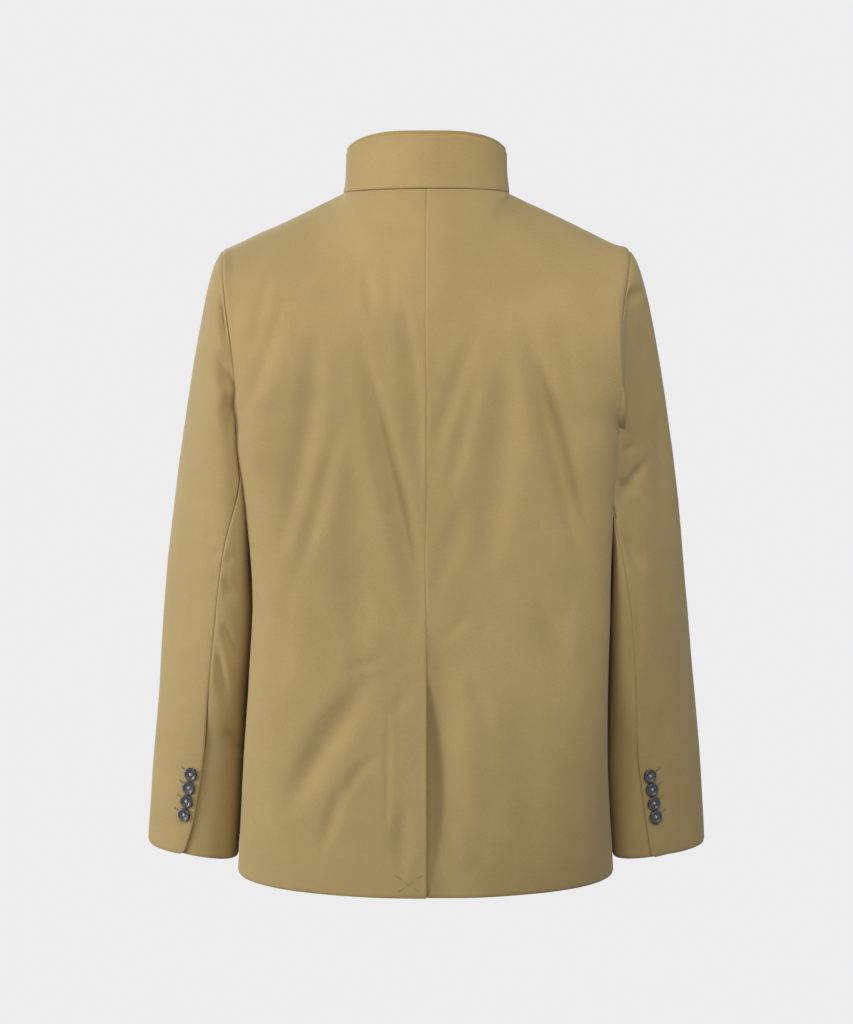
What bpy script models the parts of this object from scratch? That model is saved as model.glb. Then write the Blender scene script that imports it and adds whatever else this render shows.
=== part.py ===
"""Stand-collar blazer in its worn shape, with no wearer inside.

Metres, +Z up. The front faces -Y and the wearer's left is +X. The origin is in the middle of the neckline,
level with the ends of the shoulder seams. Every cloth piece is a wall on one garment form: the body is a
stack of rounded sections from hem to armhole, carried over the shoulders to the neckline, and each sleeve
is a tube that starts on the armhole. Seams are gaps between neighbouring pieces.
"""
import math
from collections import namedtuple

import bmesh
import bpy
import numpy as np
from mathutils import Vector

# Cloth
CLOTH = 0.0015
SEAM_GAP = 0.0003
LAYER = CLOTH + 2 * SEAM_GAP
BEND_GAP = 0.0004  # what a seam on a bend opens further on each side, so that the walls clear inside
SLEEVE_BEND_GAP = 0.0006

# Heights
HEM_Z = -0.725
HEM_SIDE_RISE = 0.006
UNDERARM_Z = -0.262
SHOULDER_TIP_Z = -0.061
NECK_FRONT_Z = -0.062

# Neckline and collar
NECK_HALF = 0.088
NECK_SIDE_Y = -0.005
COLLAR_LEAN = 0.003
COLLAR_FACING = 0.001
COLLAR_FACING_STEP = 0.003
COLLAR_FACING_START = 0.004

# Armhole
ARMHOLE_TOP_X = 0.2135
ARMHOLE_LOW_X = 0.1955
ARMHOLE_Y = 0.002
ARMHOLE_BACK = 0.080
ARMHOLE_SCOOP = 0.75
ARMHOLE_FRONT = 0.060

# Centre front, centre back and cuffs
BUTTON_STAND = 0.022
VENT_TOP_Z = -0.498
VENT_UNDERLAP = 0.040
VENT_UNDERLAP_COLUMNS = 2
VENT_OPEN = 0.004
VENT_LAYER = LAYER + 2 * BEND_GAP
VENT_BESIDE = 0.050
VENT_BESIDE_END = 0.055
VENT_ABOVE = 0.25
VENT_FOOT = 0.85
STAND_BESIDE = 0.050
COLLAR_BESIDE = 0.045
NECK_SLOPE = 0.8
CUFF_VENT_Z = -0.588
CUFF_UNDERLAP = math.radians(30)
CUFF_UNDERLAP_COLUMNS = 2
UNDERLAP_FADE = math.radians(50)
UNDERLAP_ROWS = 2
SIDE_SEAM_Y = -0.010
CUFF_TILT_OUT = 0.14
CUFF_TILT_REACH = 0.020
CUFF_TILT_BACK = 0.14
CAP_END_Z = -0.300
SLEEVE_FRONT_SEAM = math.radians(-125)

# The shoulders: the share of the rise above the underarm where sections start to turn into the neckline and
# shoulder seam, the neck's share of a row, and how the cloth comes up to the neckline and over the shoulder
BLADE = 0.45
NECK_SHARE = 0.38
NECK_FORWARD = 0.080
NECK_UP_BACK = 0.110
NECK_UP_FRONT = 0.085
SHOULDER_FORWARD = 0.110
SHOULDER_UP = 0.004
NECK_CURVE = 1.4
UNDERARM_BLEND = 0.15

# The sleeve head: how far the cloth runs out of the armhole at the top and underarm before it turns down
HEAD_OUT = 0.054
HEAD_DOWN = 0.030
GUSSET_OUT = 0.030
HEAD_SPREAD = 0.006
HEAD_HANG = 0.30
GUSSET_HANG = 0.05

# Buttons
CUFF_BUTTON = 0.0146
CUFF_BUTTONS = 4
CUFF_BUTTON_PITCH = 0.0149
CUFF_BUTTON_FIRST_Z = -0.612
CUFF_BUTTON_INSET = 0.0113
FRONT_BUTTON = 0.020
FRONT_BUTTON_TOP_Z = -0.100
FRONT_BUTTON_PITCH = 0.100
FRONT_BUTTONS = 5
BUTTON_THICK = 0.0030
BUTTON_LIFT = 0.0004
BUTTON_OUTLINE = [(0, 1.0), (0.82, 1.0), (0.95, 0.84), (1.0, 0.55), (0.97, 0.22), (0.88, 0.0), (0, 0)]

# Mesh fineness
NECK_COLUMNS = 7
SHOULDER_COLUMNS = 8
BODY_ROWS_BELOW = 11
BODY_ROWS_ABOVE = 9
UPPER_COLUMNS = 12
UNDER_COLUMNS = 6
CAP_ROWS = 6
SLEEVE_ROWS = 12
COLLAR_ROWS = 3
BUTTON_SIDES = 18
LAST_ROW = 0.97
NUDGE = 0.01

KHAKI = (0.42, 0.34, 0.16, 1.0)
KHAKI_ROUGHNESS = 0.75
NAVY = (0.012, 0.014, 0.020, 1.0)
NAVY_ROUGHNESS = 0.35

LEFT, RIGHT = 1, -1
BACK, FRONT = 1, -1

# Half widths of the body at the side seams
Side = namedtuple("Side", "z left right")
SIDES = [
    Side(-0.725, 0.2015, 0.1995),
    Side(-0.650, 0.1970, 0.1940),
    Side(-0.560, 0.1910, 0.1900),
    Side(-0.480, 0.1840, 0.1905),
    Side(-0.410, 0.1790, 0.1925),
    Side(-0.350, 0.1860, 0.1945),
    Side(-0.290, 0.1955, 0.1970),
    Side(-0.262, 0.1955, 0.1955),
]

# The body's profile down centre back and centre front, and how square its sections are
Profile = namedtuple("Profile", "z back front square")
PROFILES = [
    Profile(-0.725, 0.134, -0.124, 2.20),
    Profile(-0.650, 0.127, -0.122, 3.10),
    Profile(-0.560, 0.117, -0.119, 4.30),
    Profile(-0.480, 0.107, -0.118, 5.20),
    Profile(-0.400, 0.102, -0.120, 5.80),
    Profile(-0.300, 0.106, -0.126, 5.60),
    Profile(-0.200, 0.112, -0.128, 4.60),
    Profile(-0.130, 0.110, -0.116, 3.80),
    Profile(-0.062, 0.098, -0.090, 3.20),
    Profile(0.000, 0.068, -0.070, 3.00),
]

# The sleeve's sections below the armhole: how far it reaches out, in, back and forward, how far its back leans
# towards the body, and how far its front edge swings in again, as shares of half its depth
Ring = namedtuple("Ring", "z outer inner_left inner_right back front lean front_bend")
RINGS = [
    Ring(-0.300, 0.2695, 0.1975, 0.1985, 0.076, -0.090, 0.26, 0.72),
    Ring(-0.370, 0.2780, 0.1880, 0.1965, 0.066, -0.088, 0.33, 0.94),
    Ring(-0.430, 0.2835, 0.1830, 0.1950, 0.055, -0.088, 0.37, 1.08),
    Ring(-0.530, 0.2905, 0.1908, 0.1935, 0.034, -0.090, 0.36, 1.10),
    Ring(-0.610, 0.2970, 0.1960, 0.1944, 0.015, -0.093, 0.32, 1.16),
    Ring(-0.700, 0.3030, 0.2026, 0.2003, 0.002, -0.096, 0.28, 1.18),
]

# The sleeves' back seams as angles round the sleeve, from outside towards the back, in degrees. Below the cuff
# vent's top the edge of the upper sleeve leaves the seam.
Seam = namedtuple("Seam", "z left right left_edge right_edge")
SLEEVE_SEAMS = [
    Seam(-0.262, 135.0, 143.0, 135.0, 143.0),
    Seam(-0.300, 112.0, 131.0, 112.0, 131.0),
    Seam(-0.350, 88.5, 112.5, 88.5, 112.5),
    Seam(-0.410, 76.0, 93.0, 76.0, 93.0),
    Seam(-0.470, 73.0, 86.0, 73.0, 86.0),
    Seam(-0.530, 75.0, 88.0, 75.0, 88.0),
    Seam(-0.588, 79.0, 93.0, 79.0, 93.0),
    Seam(-0.640, 81.0, 95.5, 77.0, 91.0),
    Seam(-0.670, 81.5, 96.5, 73.5, 89.5),
    Seam(-0.700, 81.5, 96.5, 66.5, 87.5),
]

# The collar's height round the neck, in degrees from centre back
Stand = namedtuple("Stand", "turn height")
STANDS = [
    Stand(0, 0.0560),
    Stand(30, 0.0556),
    Stand(55, 0.0510),
    Stand(72, 0.0460),
    Stand(90, 0.0420),
    Stand(130, 0.0400),
    Stand(200, 0.0395),
]

# The largest folds of the back: soft troughs from top to foot, with their half width and depth
Fold = namedtuple("Fold", "x_top z_top x_foot z_foot half_width depth")
FOLD_FADE = 0.35
FOLD_END = 0.2
FOLDS = [
    Fold(0.078, -0.157, 0.022, -0.360, 0.014, 0.004),
    Fold(0.033, -0.147, 0.010, -0.279, 0.012, 0.003),
    Fold(0.043, -0.498, 0.141, -0.606, 0.018, 0.005),
    Fold(-0.104, -0.127, -0.145, -0.350, 0.016, 0.004),
    Fold(-0.074, -0.218, -0.079, -0.340, 0.020, 0.003),
    Fold(-0.044, -0.167, -0.006, -0.289, 0.012, 0.003),
]


def clear_scene():
    for thing in list(bpy.data.objects):
        bpy.data.objects.remove(thing)


def mix(a, b, share):
    return a + (b - a) * share


def ease(share):
    """0 to 1 with a soft start and end."""
    share = min(max(share, 0.0), 1.0)
    return share * share * (3 - 2 * share)


def read(table, column, at, key="z"):
    """A smooth curve through one column of a table."""
    rows = sorted(table, key=lambda row: getattr(row, key))
    places = np.array([getattr(row, key) for row in rows])
    values = np.array([getattr(row, column) for row in rows])
    slopes = np.gradient(values, places)
    at = min(max(at, places[0]), places[-1])
    i = min(int(np.searchsorted(places, at, side="right")) - 1, len(rows) - 2)
    step = places[i + 1] - places[i]
    return hermite(values[i], slopes[i] * step, values[i + 1], slopes[i + 1] * step, (at - places[i]) / step)


def hermite(start, leave, end, arrive, share):
    s, s2, s3 = share, share**2, share**3
    bend = (2 * s3 - 3 * s2 + 1) * start + (s3 - 2 * s2 + s) * leave
    return bend + (3 * s2 - 2 * s3) * end + (s3 - s2) * arrive


# ---- body -------------------------------------------------------------------------------------------------


def armhole(side, turn):
    """A point of the armhole: turn 0 is the shoulder tip, +90 degrees the back and 180 the underarm."""
    top = (1 + math.cos(turn)) / 2
    along = math.sin(turn)
    if along > 0:
        along = ARMHOLE_BACK * (along if top > 0.5 else along**ARMHOLE_SCOOP)
    else:
        along *= ARMHOLE_FRONT
    x = side * mix(ARMHOLE_LOW_X, ARMHOLE_TOP_X, top)
    return np.array([x, ARMHOLE_Y + along, mix(UNDERARM_Z, SHOULDER_TIP_Z, top)])


def neckline(turn):
    """A point of the neckline: turn 0 is centre back, +90 degrees the left shoulder and 180 centre front."""
    c = math.cos(turn)
    if c >= 0:
        middle_y = read(PROFILES, "back", 0.0)
        drop = 0.0
    else:
        middle_y = read(PROFILES, "front", NECK_FRONT_Z)
        drop = NECK_FRONT_Z
    y = mix(NECK_SIDE_Y, middle_y, abs(c))
    return np.array([NECK_HALF * math.sin(turn), y, drop * abs(c) ** NECK_CURVE])


def top_row(side, face, u):
    """Half the neckline, then the shoulder seam. A negative u is past the centre line."""
    if u <= NECK_SHARE:
        turn = u / NECK_SHARE * math.pi / 2
        return neckline(side * (turn if face == BACK else math.pi - turn))
    start = neckline(side * math.pi / 2)
    return mix(start, armhole(side, 0.0), (u - NECK_SHARE) / (1 - NECK_SHARE))


def section(u, middle, end, square):
    """A rounded quarter from the centre line to the side, where it runs straight to the front or back."""
    across, along = math.sin(u * math.pi / 2), math.cos(u * math.pi / 2)
    size = (abs(across) ** square + abs(along) ** square) ** (-1 / square)
    return np.array([size * across * end[0], mix(end[1], middle[1], size * along), mix(middle[2], end[2], u * u)])


def low_row(side, face, u, z):
    width = side * read(SIDES, "left" if side == LEFT else "right", z)
    depth = read(PROFILES, "back" if face == BACK else "front", z)
    square = read(PROFILES, "square", z)
    rise = HEM_SIDE_RISE * (UNDERARM_Z - z) / (UNDERARM_Z - HEM_Z)
    return section(u, (0, depth, z), (width, SIDE_SEAM_Y, z + rise), square)


def high_row(side, face, u, rise):
    """A section that is cut off by the armhole. Its rise goes from 0 at the underarm to 1 at the shoulder tip."""
    neck_z = 0.0 if face == BACK else NECK_FRONT_Z
    z = mix(UNDERARM_Z, neck_z, rise)
    depth = read(PROFILES, "back" if face == BACK else "front", z)
    square = read(PROFILES, "square", z)
    end = armhole(side, face * math.pi * (1 - rise))
    end[1] = mix(SIDE_SEAM_Y, end[1], ease(rise / UNDERARM_BLEND))
    along = max((end[1] - SIDE_SEAM_Y) / (depth - SIDE_SEAM_Y), 0.0)
    across = (1 - along**square) ** (1 / square)
    side_end = (end[0] / across, SIDE_SEAM_Y, z)
    point = section(u * math.atan2(across, along) / (math.pi / 2), (0, depth, z), side_end, square)
    behind_seam = end[1] - mix(SIDE_SEAM_Y, depth, along)
    return np.array([point[0], point[1] + behind_seam * u * u, mix(z, end[2], u * u)])


def form(side, face, u, v):
    """The garment form. v is 0 at the hem, 1 at the underarm and 2 at the neckline and shoulder seam."""
    if v <= 1:
        return low_row(side, face, u, mix(HEM_Z, UNDERARM_Z, v))
    rise = v - 1
    if rise <= BLADE:
        return high_row(side, face, u, rise)
    at_neck = np.array([0, -face * NECK_FORWARD, NECK_UP_BACK if face == BACK else NECK_UP_FRONT])
    at_shoulder = np.array([0, -face * SHOULDER_FORWARD, SHOULDER_UP])
    share = (rise - BLADE) / (1 - BLADE)

    def carried(u, arrive):
        start = high_row(side, face, u, BLADE)
        leave = (start - high_row(side, face, u, BLADE - NUDGE)) / NUDGE * (1 - BLADE)
        return hermite(start, leave, top_row(side, face, u), arrive, share)

    point = carried(u, mix(at_neck, at_shoulder, ease(abs(u) / NECK_SHARE)))
    if u > NECK_SHARE:
        miss = high_row(side, face, 1, rise) - carried(1, at_shoulder)
        point = point + miss * ((u - NECK_SHARE) / (1 - NECK_SHARE)) ** 3
    return point


def fold_depth(x, z):
    """How far the back's folds draw the cloth in at this place."""
    total = 0.0
    for fold in FOLDS:
        run = np.array([fold.x_foot - fold.x_top, fold.z_foot - fold.z_top])
        away = np.array([x - fold.x_top, z - fold.z_top])
        along = float(away @ run / (run @ run))
        across = abs(float(away[0] * run[1] - away[1] * run[0])) / math.hypot(*run)
        taper = ease(along / FOLD_FADE + FOLD_END) * ease((1 - along) / FOLD_FADE + FOLD_END)
        total += fold.depth * taper * math.exp(-((across / fold.half_width) ** 2))
    return total


def vent_depth(x, z):
    """How far the right back lies under the left one, at the vent and beside it."""
    beside = ease((x + VENT_BESIDE_END) / VENT_BESIDE)
    down = (VENT_TOP_Z - z) / (VENT_TOP_Z - HEM_Z)
    if down <= 0:
        return VENT_LAYER * beside * ease(1 + down / VENT_ABOVE)
    return (VENT_LAYER + VENT_OPEN * math.sin(math.pi * min(down, VENT_FOOT)) ** 2) * beside


def body_rows(extra):
    """The v of each row, with the given heights below the underarm put in as rows of their own."""
    below = [i / BODY_ROWS_BELOW for i in range(BODY_ROWS_BELOW + 1)]
    for z in extra:
        v = (z - HEM_Z) / (UNDERARM_Z - HEM_Z)
        nearest = min(range(1, BODY_ROWS_BELOW), key=lambda i: abs(below[i] - v))
        below[nearest] = v
    above = [1 + (i + 1) / BODY_ROWS_ABOVE for i in range(BODY_ROWS_ABOVE)]
    return below + above[:-1] + [1 + LAST_ROW, 2.0]


def body_columns(before):
    """The u of each column: some before the centre line, then neck and shoulder."""
    neck = [NECK_SHARE * i / NECK_COLUMNS for i in range(NECK_COLUMNS)]
    shoulder = [mix(NECK_SHARE, 1.0, i / SHOULDER_COLUMNS) for i in range(SHOULDER_COLUMNS + 1)]
    return before + neck + shoulder


def u_past_centre(x):
    """The u at which the hem is this far past the centre line, as a negative number."""
    across = x / read(SIDES, "left", HEM_Z)
    square = read(PROFILES, "square", HEM_Z)
    return -math.atan2(across, (1 - across**square) ** (1 / square)) / (math.pi / 2)


# ---- sleeves ----------------------------------------------------------------------------------------------


def sleeve_ring(side, turn, z, inset=0.0):
    """A point of a sleeve section: turn 0 is outside, +90 degrees the back and 180 the side of the body."""
    outer = read(RINGS, "outer", z)
    inner = read(RINGS, "inner_left" if side == LEFT else "inner_right", z)
    back = read(RINGS, "back", z)
    front = read(RINGS, "front", z)
    deep = (back - front) / 2
    lean = read(RINGS, "lean", z)
    across = (math.sqrt(((outer - inner) / 2) ** 2 - (lean * deep) ** 2) - inset) * math.cos(turn)
    along = (deep - inset) * math.sin(turn)
    down = (CAP_END_Z - z) / (CAP_END_Z - RINGS[-1].z)
    bend = read(RINGS, "front_bend", z) * math.sin(turn) ** 4 if math.sin(turn) < 0 else 0.0
    x = (outer + inner) / 2 + across - lean * along - bend * deep
    tilt = (CUFF_TILT_OUT * min(across, CUFF_TILT_REACH) - CUFF_TILT_BACK * along) * down
    return np.array([side * x, (back + front) / 2 + along, z + tilt])


def sleeve_cap(side, turn, share):
    """From the armhole out over the arm and down to the first section."""
    start = armhole(side, turn) + np.array([side * (SEAM_GAP + 2 * BEND_GAP), 0, 0])
    end = sleeve_ring(side, turn, CAP_END_Z)
    top = (1 + math.cos(turn)) / 2
    leave = np.array([side * mix(GUSSET_OUT, HEAD_OUT, top), HEAD_SPREAD * math.sin(turn), -HEAD_DOWN * top])
    below = sleeve_ring(side, turn, CAP_END_Z - NUDGE)
    arrive = (below - end) / NUDGE * mix(GUSSET_HANG, HEAD_HANG, top)
    return hermite(start, leave, end, arrive, share)


def seam_turn(side, z, edge=""):
    """The turn of the back seam at this height, or with "_edge" that of the upper sleeve's edge."""
    return math.radians(read(SLEEVE_SEAMS, ("left" if side == LEFT else "right") + edge, z))


def sleeve_levels():
    """The sleeve's rows: shares of the cap, then heights, with one at the cuff vent's top."""
    cap = [("cap", i / CAP_ROWS) for i in range(CAP_ROWS)]
    cuff = RINGS[-1].z
    heights = [mix(CAP_END_Z, cuff, i / SLEEVE_ROWS) for i in range(SLEEVE_ROWS + 1)]
    nearest = min(range(1, SLEEVE_ROWS), key=lambda i: abs(heights[i] - CUFF_VENT_Z))
    heights[nearest] = CUFF_VENT_Z
    return cap + [("ring", z) for z in heights]


def sleeve_point(side, kind, level, turn, inset=0.0):
    if kind == "cap":
        return sleeve_cap(side, turn, level)
    return sleeve_ring(side, turn, level, inset)


def level_z(kind, level):
    return mix(UNDERARM_Z, CAP_END_Z, level) if kind == "cap" else level


# ---- collar -----------------------------------------------------------------------------------------------


def collar_point(turn, share, extra=0.0, start=0.0, inset=0.0):
    """A point of the stand: share 0 is its foot and 1 its top edge, which may be extra higher."""
    foot = neckline(turn)
    height = read(STANDS, "height", abs(math.degrees(turn)), key="turn") + extra
    rise = mix(SEAM_GAP + start, height, share)
    lean = COLLAR_LEAN * (1 - (1 - rise / height) ** 3)
    radial = np.array([foot[0], foot[1], 0.0])
    radial /= np.linalg.norm(radial)
    return foot + np.array([0, 0, rise]) - radial * (lean + inset)


def stand_inset(x, past):
    """How far the right front and collar are under the left ones: 0 away from the front edge, then 1."""
    return ease((x + BUTTON_STAND + past) / past)


# ---- meshes -----------------------------------------------------------------------------------------------


def plain_material(name, colour, roughness):
    material = bpy.data.materials.new(name)
    material.use_nodes = True
    shader = material.node_tree.nodes["Principled BSDF"]
    shader.inputs["Base Color"].default_value = colour
    shader.inputs["Roughness"].default_value = roughness
    shader.inputs["Metallic"].default_value = 0.0
    material.diffuse_color = colour
    return material


def draw_back(edge, inner, bend=0.0):
    """Draws an edge of a panel back by half a seam gap, towards the next row or column."""
    for point, near in zip(edge, inner):
        step = near - point
        point += step / np.linalg.norm(step) * (SEAM_GAP / 2 + bend)


def cloth(name, grid, flip, keep=None, thick=CLOTH):
    """A wall of cloth on a grid of points, with its thickness inside the form."""
    rows, columns = grid.shape[:2]
    shape = bmesh.new()
    corners = {}

    def corner(i, j):
        if (i, j) not in corners:
            corners[i, j] = shape.verts.new(Vector(grid[i, j]))
        return corners[i, j]

    for i in range(rows - 1):
        for j in range(columns - 1):
            if keep and not keep(i, j):
                continue
            loop = [corner(i, j), corner(i, j + 1), corner(i + 1, j + 1), corner(i + 1, j)]
            shape.faces.new(loop[::-1] if flip else loop)
    mesh = bpy.data.meshes.new(name)
    shape.to_mesh(mesh)
    shape.free()
    mesh.shade_smooth()
    piece = bpy.data.objects.new(name, mesh)
    piece.data.materials.append(plain_material(name + "_cloth", KHAKI, KHAKI_ROUGHNESS))
    wall = piece.modifiers.new("wall", "SOLIDIFY")
    wall.thickness = thick
    wall.offset = -1.0
    wall.use_even_offset = True
    wall.use_quality_normals = True
    return piece


def make_back(side):
    """Half the back. The right half runs on under the left one below the vent's top."""
    rows = body_rows([VENT_TOP_Z])
    vent_row = min(range(len(rows)), key=lambda i: abs(mix(HEM_Z, UNDERARM_Z, rows[i]) - VENT_TOP_Z))
    before = []
    if side == RIGHT:
        steps = [(VENT_UNDERLAP_COLUMNS - k) / VENT_UNDERLAP_COLUMNS for k in range(VENT_UNDERLAP_COLUMNS)]
        before = [u_past_centre(VENT_UNDERLAP * step) for step in steps]
    columns = body_columns(before)
    grid = np.array([[form(side, BACK, u, v) for u in columns] for v in rows])
    centre = len(before)
    for i, row in enumerate(grid):
        for j, point in enumerate(row):
            point[1] -= fold_depth(point[0], point[2])
            if side == RIGHT:
                point[1] -= vent_depth(point[0], point[2])
    draw_back(grid[:, -1], grid[:, -2], BEND_GAP / 4)
    draw_back(grid[-1], grid[-2], BEND_GAP / 2)
    grid[:, centre, 0] += side * (SEAM_GAP + BEND_GAP) / 2
    keep = None if side == LEFT else (lambda i, j: j >= centre or i < vent_row)
    return cloth("back_left" if side == LEFT else "back_right", grid, side == LEFT, keep)


def make_front(side):
    """One front, with its button stand past the centre line."""
    before = [u_past_centre(BUTTON_STAND)]
    columns = body_columns(before)
    grid = np.array([[form(side, FRONT, u, v) for u in columns] for v in body_rows([])])
    if side == RIGHT:
        for point in grid.reshape(-1, 3):
            slope = 1 + NECK_SLOPE * ease(1 - (NECK_FRONT_Z - point[2]) / -NECK_FRONT_Z)
            point[1] += LAYER * slope * stand_inset(point[0], STAND_BESIDE)
    draw_back(grid[:, -1], grid[:, -2], BEND_GAP / 4)
    draw_back(grid[-1], grid[-2], BEND_GAP / 2)
    return cloth("front_left" if side == LEFT else "front_right", grid, side == RIGHT)


def make_upper_sleeve(side):
    """The outer half of the sleeve, from its front seam over the arm to its back seam and cuff vent."""
    grid = []
    for kind, level in sleeve_levels():
        back = seam_turn(side, level_z(kind, level), "_edge")
        turns = [mix(SLEEVE_FRONT_SEAM, back, j / UPPER_COLUMNS) for j in range(UPPER_COLUMNS + 1)]
        grid.append([sleeve_point(side, kind, level, turn) for turn in turns])
    grid = np.array(grid)
    draw_back(grid[:, 0], grid[:, 1], SLEEVE_BEND_GAP)
    draw_back(grid[:, -1], grid[:, -2], SLEEVE_BEND_GAP)
    return cloth("upper_sleeve_left" if side == LEFT else "upper_sleeve_right", grid, side == LEFT)


def make_under_sleeve(side):
    """The inner half of the sleeve. At the cuff vent it runs on under the upper sleeve."""
    before = CUFF_UNDERLAP_COLUMNS
    levels = sleeve_levels()
    vent_row = levels.index(("ring", CUFF_VENT_Z))
    grid = []
    for i, (kind, level) in enumerate(levels):
        z = level_z(kind, level)
        seam = seam_turn(side, z)
        under = [seam - CUFF_UNDERLAP * (before - k) / before for k in range(before)]
        end = SLEEVE_FRONT_SEAM + 2 * math.pi
        turns = under + [mix(seam, end, j / UNDER_COLUMNS) for j in range(UNDER_COLUMNS + 1)]
        row = []
        for turn in turns:
            near = ease(1 - (turn - seam) / UNDERLAP_FADE)
            down = ease(1 + (i - vent_row) / UNDERLAP_ROWS)
            row.append(sleeve_point(side, kind, level, turn, VENT_LAYER * near * down))
        grid.append(row)
    grid = np.array(grid)
    draw_back(grid[:, -1], grid[:, -2], SLEEVE_BEND_GAP)
    draw_back(grid[:vent_row, before], grid[:vent_row, before + 1], SLEEVE_BEND_GAP)
    name = "under_sleeve_left" if side == LEFT else "under_sleeve_right"
    return cloth(name, grid, side == LEFT, lambda i, j: j >= before or i >= vent_row)


def make_collar(name, extra, start, inset, thick):
    """One layer of the stand, from the right end under the left one, round the back to the left end."""
    end = math.pi + math.asin(BUTTON_STAND / NECK_HALF)
    step = math.pi / 2 / NECK_COLUMNS
    half = [step * j for j in range(2 * NECK_COLUMNS + 1)] + [end]
    grid = []
    for i in range(COLLAR_ROWS + 1):
        row = []
        for turn in [-turn for turn in half[:0:-1]] + half:
            point = collar_point(turn, i / COLLAR_ROWS, extra, start, inset)
            if turn < -math.pi / 2:
                point[1] += 2 * LAYER * stand_inset(point[0], COLLAR_BESIDE)
            row.append(point)
        grid.append(row)
    return cloth(name, np.array(grid), True, thick=thick)


def make_button(name, width, seat, outward, collection):
    """A turned button with a rounded rim, its flat back towards the cloth."""
    r = width / 2
    mesh = bpy.data.meshes.new(name)
    points = [(x * r, 0, z * BUTTON_THICK) for x, z in BUTTON_OUTLINE]
    mesh.from_pydata(points, [(i, i + 1) for i in range(len(points) - 1)], [])
    piece = bpy.data.objects.new(name, mesh)
    collection.objects.link(piece)
    piece.data.materials.append(plain_material(name + "_horn", NAVY, NAVY_ROUGHNESS))
    turn = piece.modifiers.new("turn", "SCREW")
    turn.steps = BUTTON_SIDES
    turn.render_steps = BUTTON_SIDES
    turn.use_merge_vertices = True
    turn.merge_threshold = 0.0001
    turn.use_smooth_shade = True
    piece.rotation_euler = Vector(outward).to_track_quat("Z", "Y").to_euler()
    piece.location = Vector(seat) + Vector(outward) * BUTTON_LIFT
    return piece


def make_cuff_buttons(side, collection):
    name = "cuff_button_left_" if side == LEFT else "cuff_button_right_"
    girth = read(RINGS, "back", CUFF_BUTTON_FIRST_Z) - read(RINGS, "front", CUFF_BUTTON_FIRST_Z)
    for k in range(CUFF_BUTTONS):
        z = CUFF_BUTTON_FIRST_Z - k * CUFF_BUTTON_PITCH
        turn = seam_turn(side, z, "_edge") - CUFF_BUTTON_INSET / (girth / 2)
        seat = sleeve_ring(side, turn, z)
        around = sleeve_ring(side, turn + 0.01, z) - sleeve_ring(side, turn - 0.01, z)
        down = sleeve_ring(side, turn, z - 0.001) - sleeve_ring(side, turn, z + 0.001)
        outward = np.cross(down, around) * side
        make_button(name + str(k + 1), CUFF_BUTTON, seat, outward / np.linalg.norm(outward), collection)


def front_seat(z):
    """The centre front's point at this height, and the way out of the cloth there."""
    low, high = 0.0, 2.0
    for _ in range(30):
        middle = (low + high) / 2
        low, high = (middle, high) if form(LEFT, FRONT, 0, middle)[2] < z else (low, middle)
    slope = form(LEFT, FRONT, 0, high + 0.02) - form(LEFT, FRONT, 0, high - 0.02)
    outward = np.array([0, -slope[2], slope[1]])
    return form(LEFT, FRONT, 0, high), outward / np.linalg.norm(outward)


def make_front_buttons(collection):
    for k in range(FRONT_BUTTONS):
        seat, outward = front_seat(FRONT_BUTTON_TOP_Z - k * FRONT_BUTTON_PITCH)
        make_button("front_button_" + str(k + 1), FRONT_BUTTON, seat, outward, collection)


def main():
    clear_scene()
    blazer = bpy.data.collections.new("stand_collar_blazer")
    bpy.context.scene.collection.children.link(blazer)
    pieces = []
    for side in (LEFT, RIGHT):
        pieces += [make_back(side), make_front(side), make_upper_sleeve(side), make_under_sleeve(side)]
    pieces.append(make_collar("collar_outer", 0.0, 0.0, 0.0, CLOTH))
    pieces.append(make_collar("collar_inner", COLLAR_FACING_STEP, COLLAR_FACING_START, LAYER, COLLAR_FACING))
    for piece in pieces:
        blazer.objects.link(piece)
    for side in (LEFT, RIGHT):
        make_cuff_buttons(side, blazer)
    make_front_buttons(blazer)


main()
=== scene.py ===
"""Looks of a stand-collar blazer in its worn shape: cloth, folds, seams, buttons and thread.

Metres, +Z up. The front faces -Y and the wearer's left is +X. Each sheet of cloth repeats the form of its
solid in the frame, with finer rows, the creases of worn cotton and rolled seam edges laid on it.
"""
import math
from collections import namedtuple

import bpy
import numpy as np
from mathutils import Matrix, Vector


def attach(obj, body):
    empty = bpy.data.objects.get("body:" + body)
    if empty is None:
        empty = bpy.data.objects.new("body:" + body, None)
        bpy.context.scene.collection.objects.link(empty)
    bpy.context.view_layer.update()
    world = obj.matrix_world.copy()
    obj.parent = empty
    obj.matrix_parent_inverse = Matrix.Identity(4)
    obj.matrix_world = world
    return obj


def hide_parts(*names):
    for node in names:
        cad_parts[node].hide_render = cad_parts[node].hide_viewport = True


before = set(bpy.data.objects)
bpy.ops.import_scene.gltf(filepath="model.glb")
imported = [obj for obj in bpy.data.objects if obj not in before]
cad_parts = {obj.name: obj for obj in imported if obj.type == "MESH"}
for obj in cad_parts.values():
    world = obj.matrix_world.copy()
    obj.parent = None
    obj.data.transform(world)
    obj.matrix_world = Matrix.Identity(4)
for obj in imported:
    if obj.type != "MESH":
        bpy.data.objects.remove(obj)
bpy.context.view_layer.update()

bl_info = {
    "name": "Stand-Collar Blazer",
    "version": (1, 0, 0),
    "blender": (4, 5, 0),
    "location": "View3D > Sidebar > Blazer",
    "description": "Builds the cloth, buttons and stitching of a stand-collar cotton blazer",
    "category": "Object",
}

# ---- the garment's form, as its solids have it ----

SEAM_GAP = 0.0003
CLOTH = 0.0015
LAYER = CLOTH + 2 * SEAM_GAP
BEND_GAP = 0.0004

HEM_Z = -0.725
HEM_SIDE_RISE = 0.006
UNDERARM_Z = -0.262
SHOULDER_TIP_Z = -0.061
NECK_FRONT_Z = -0.062

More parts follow.
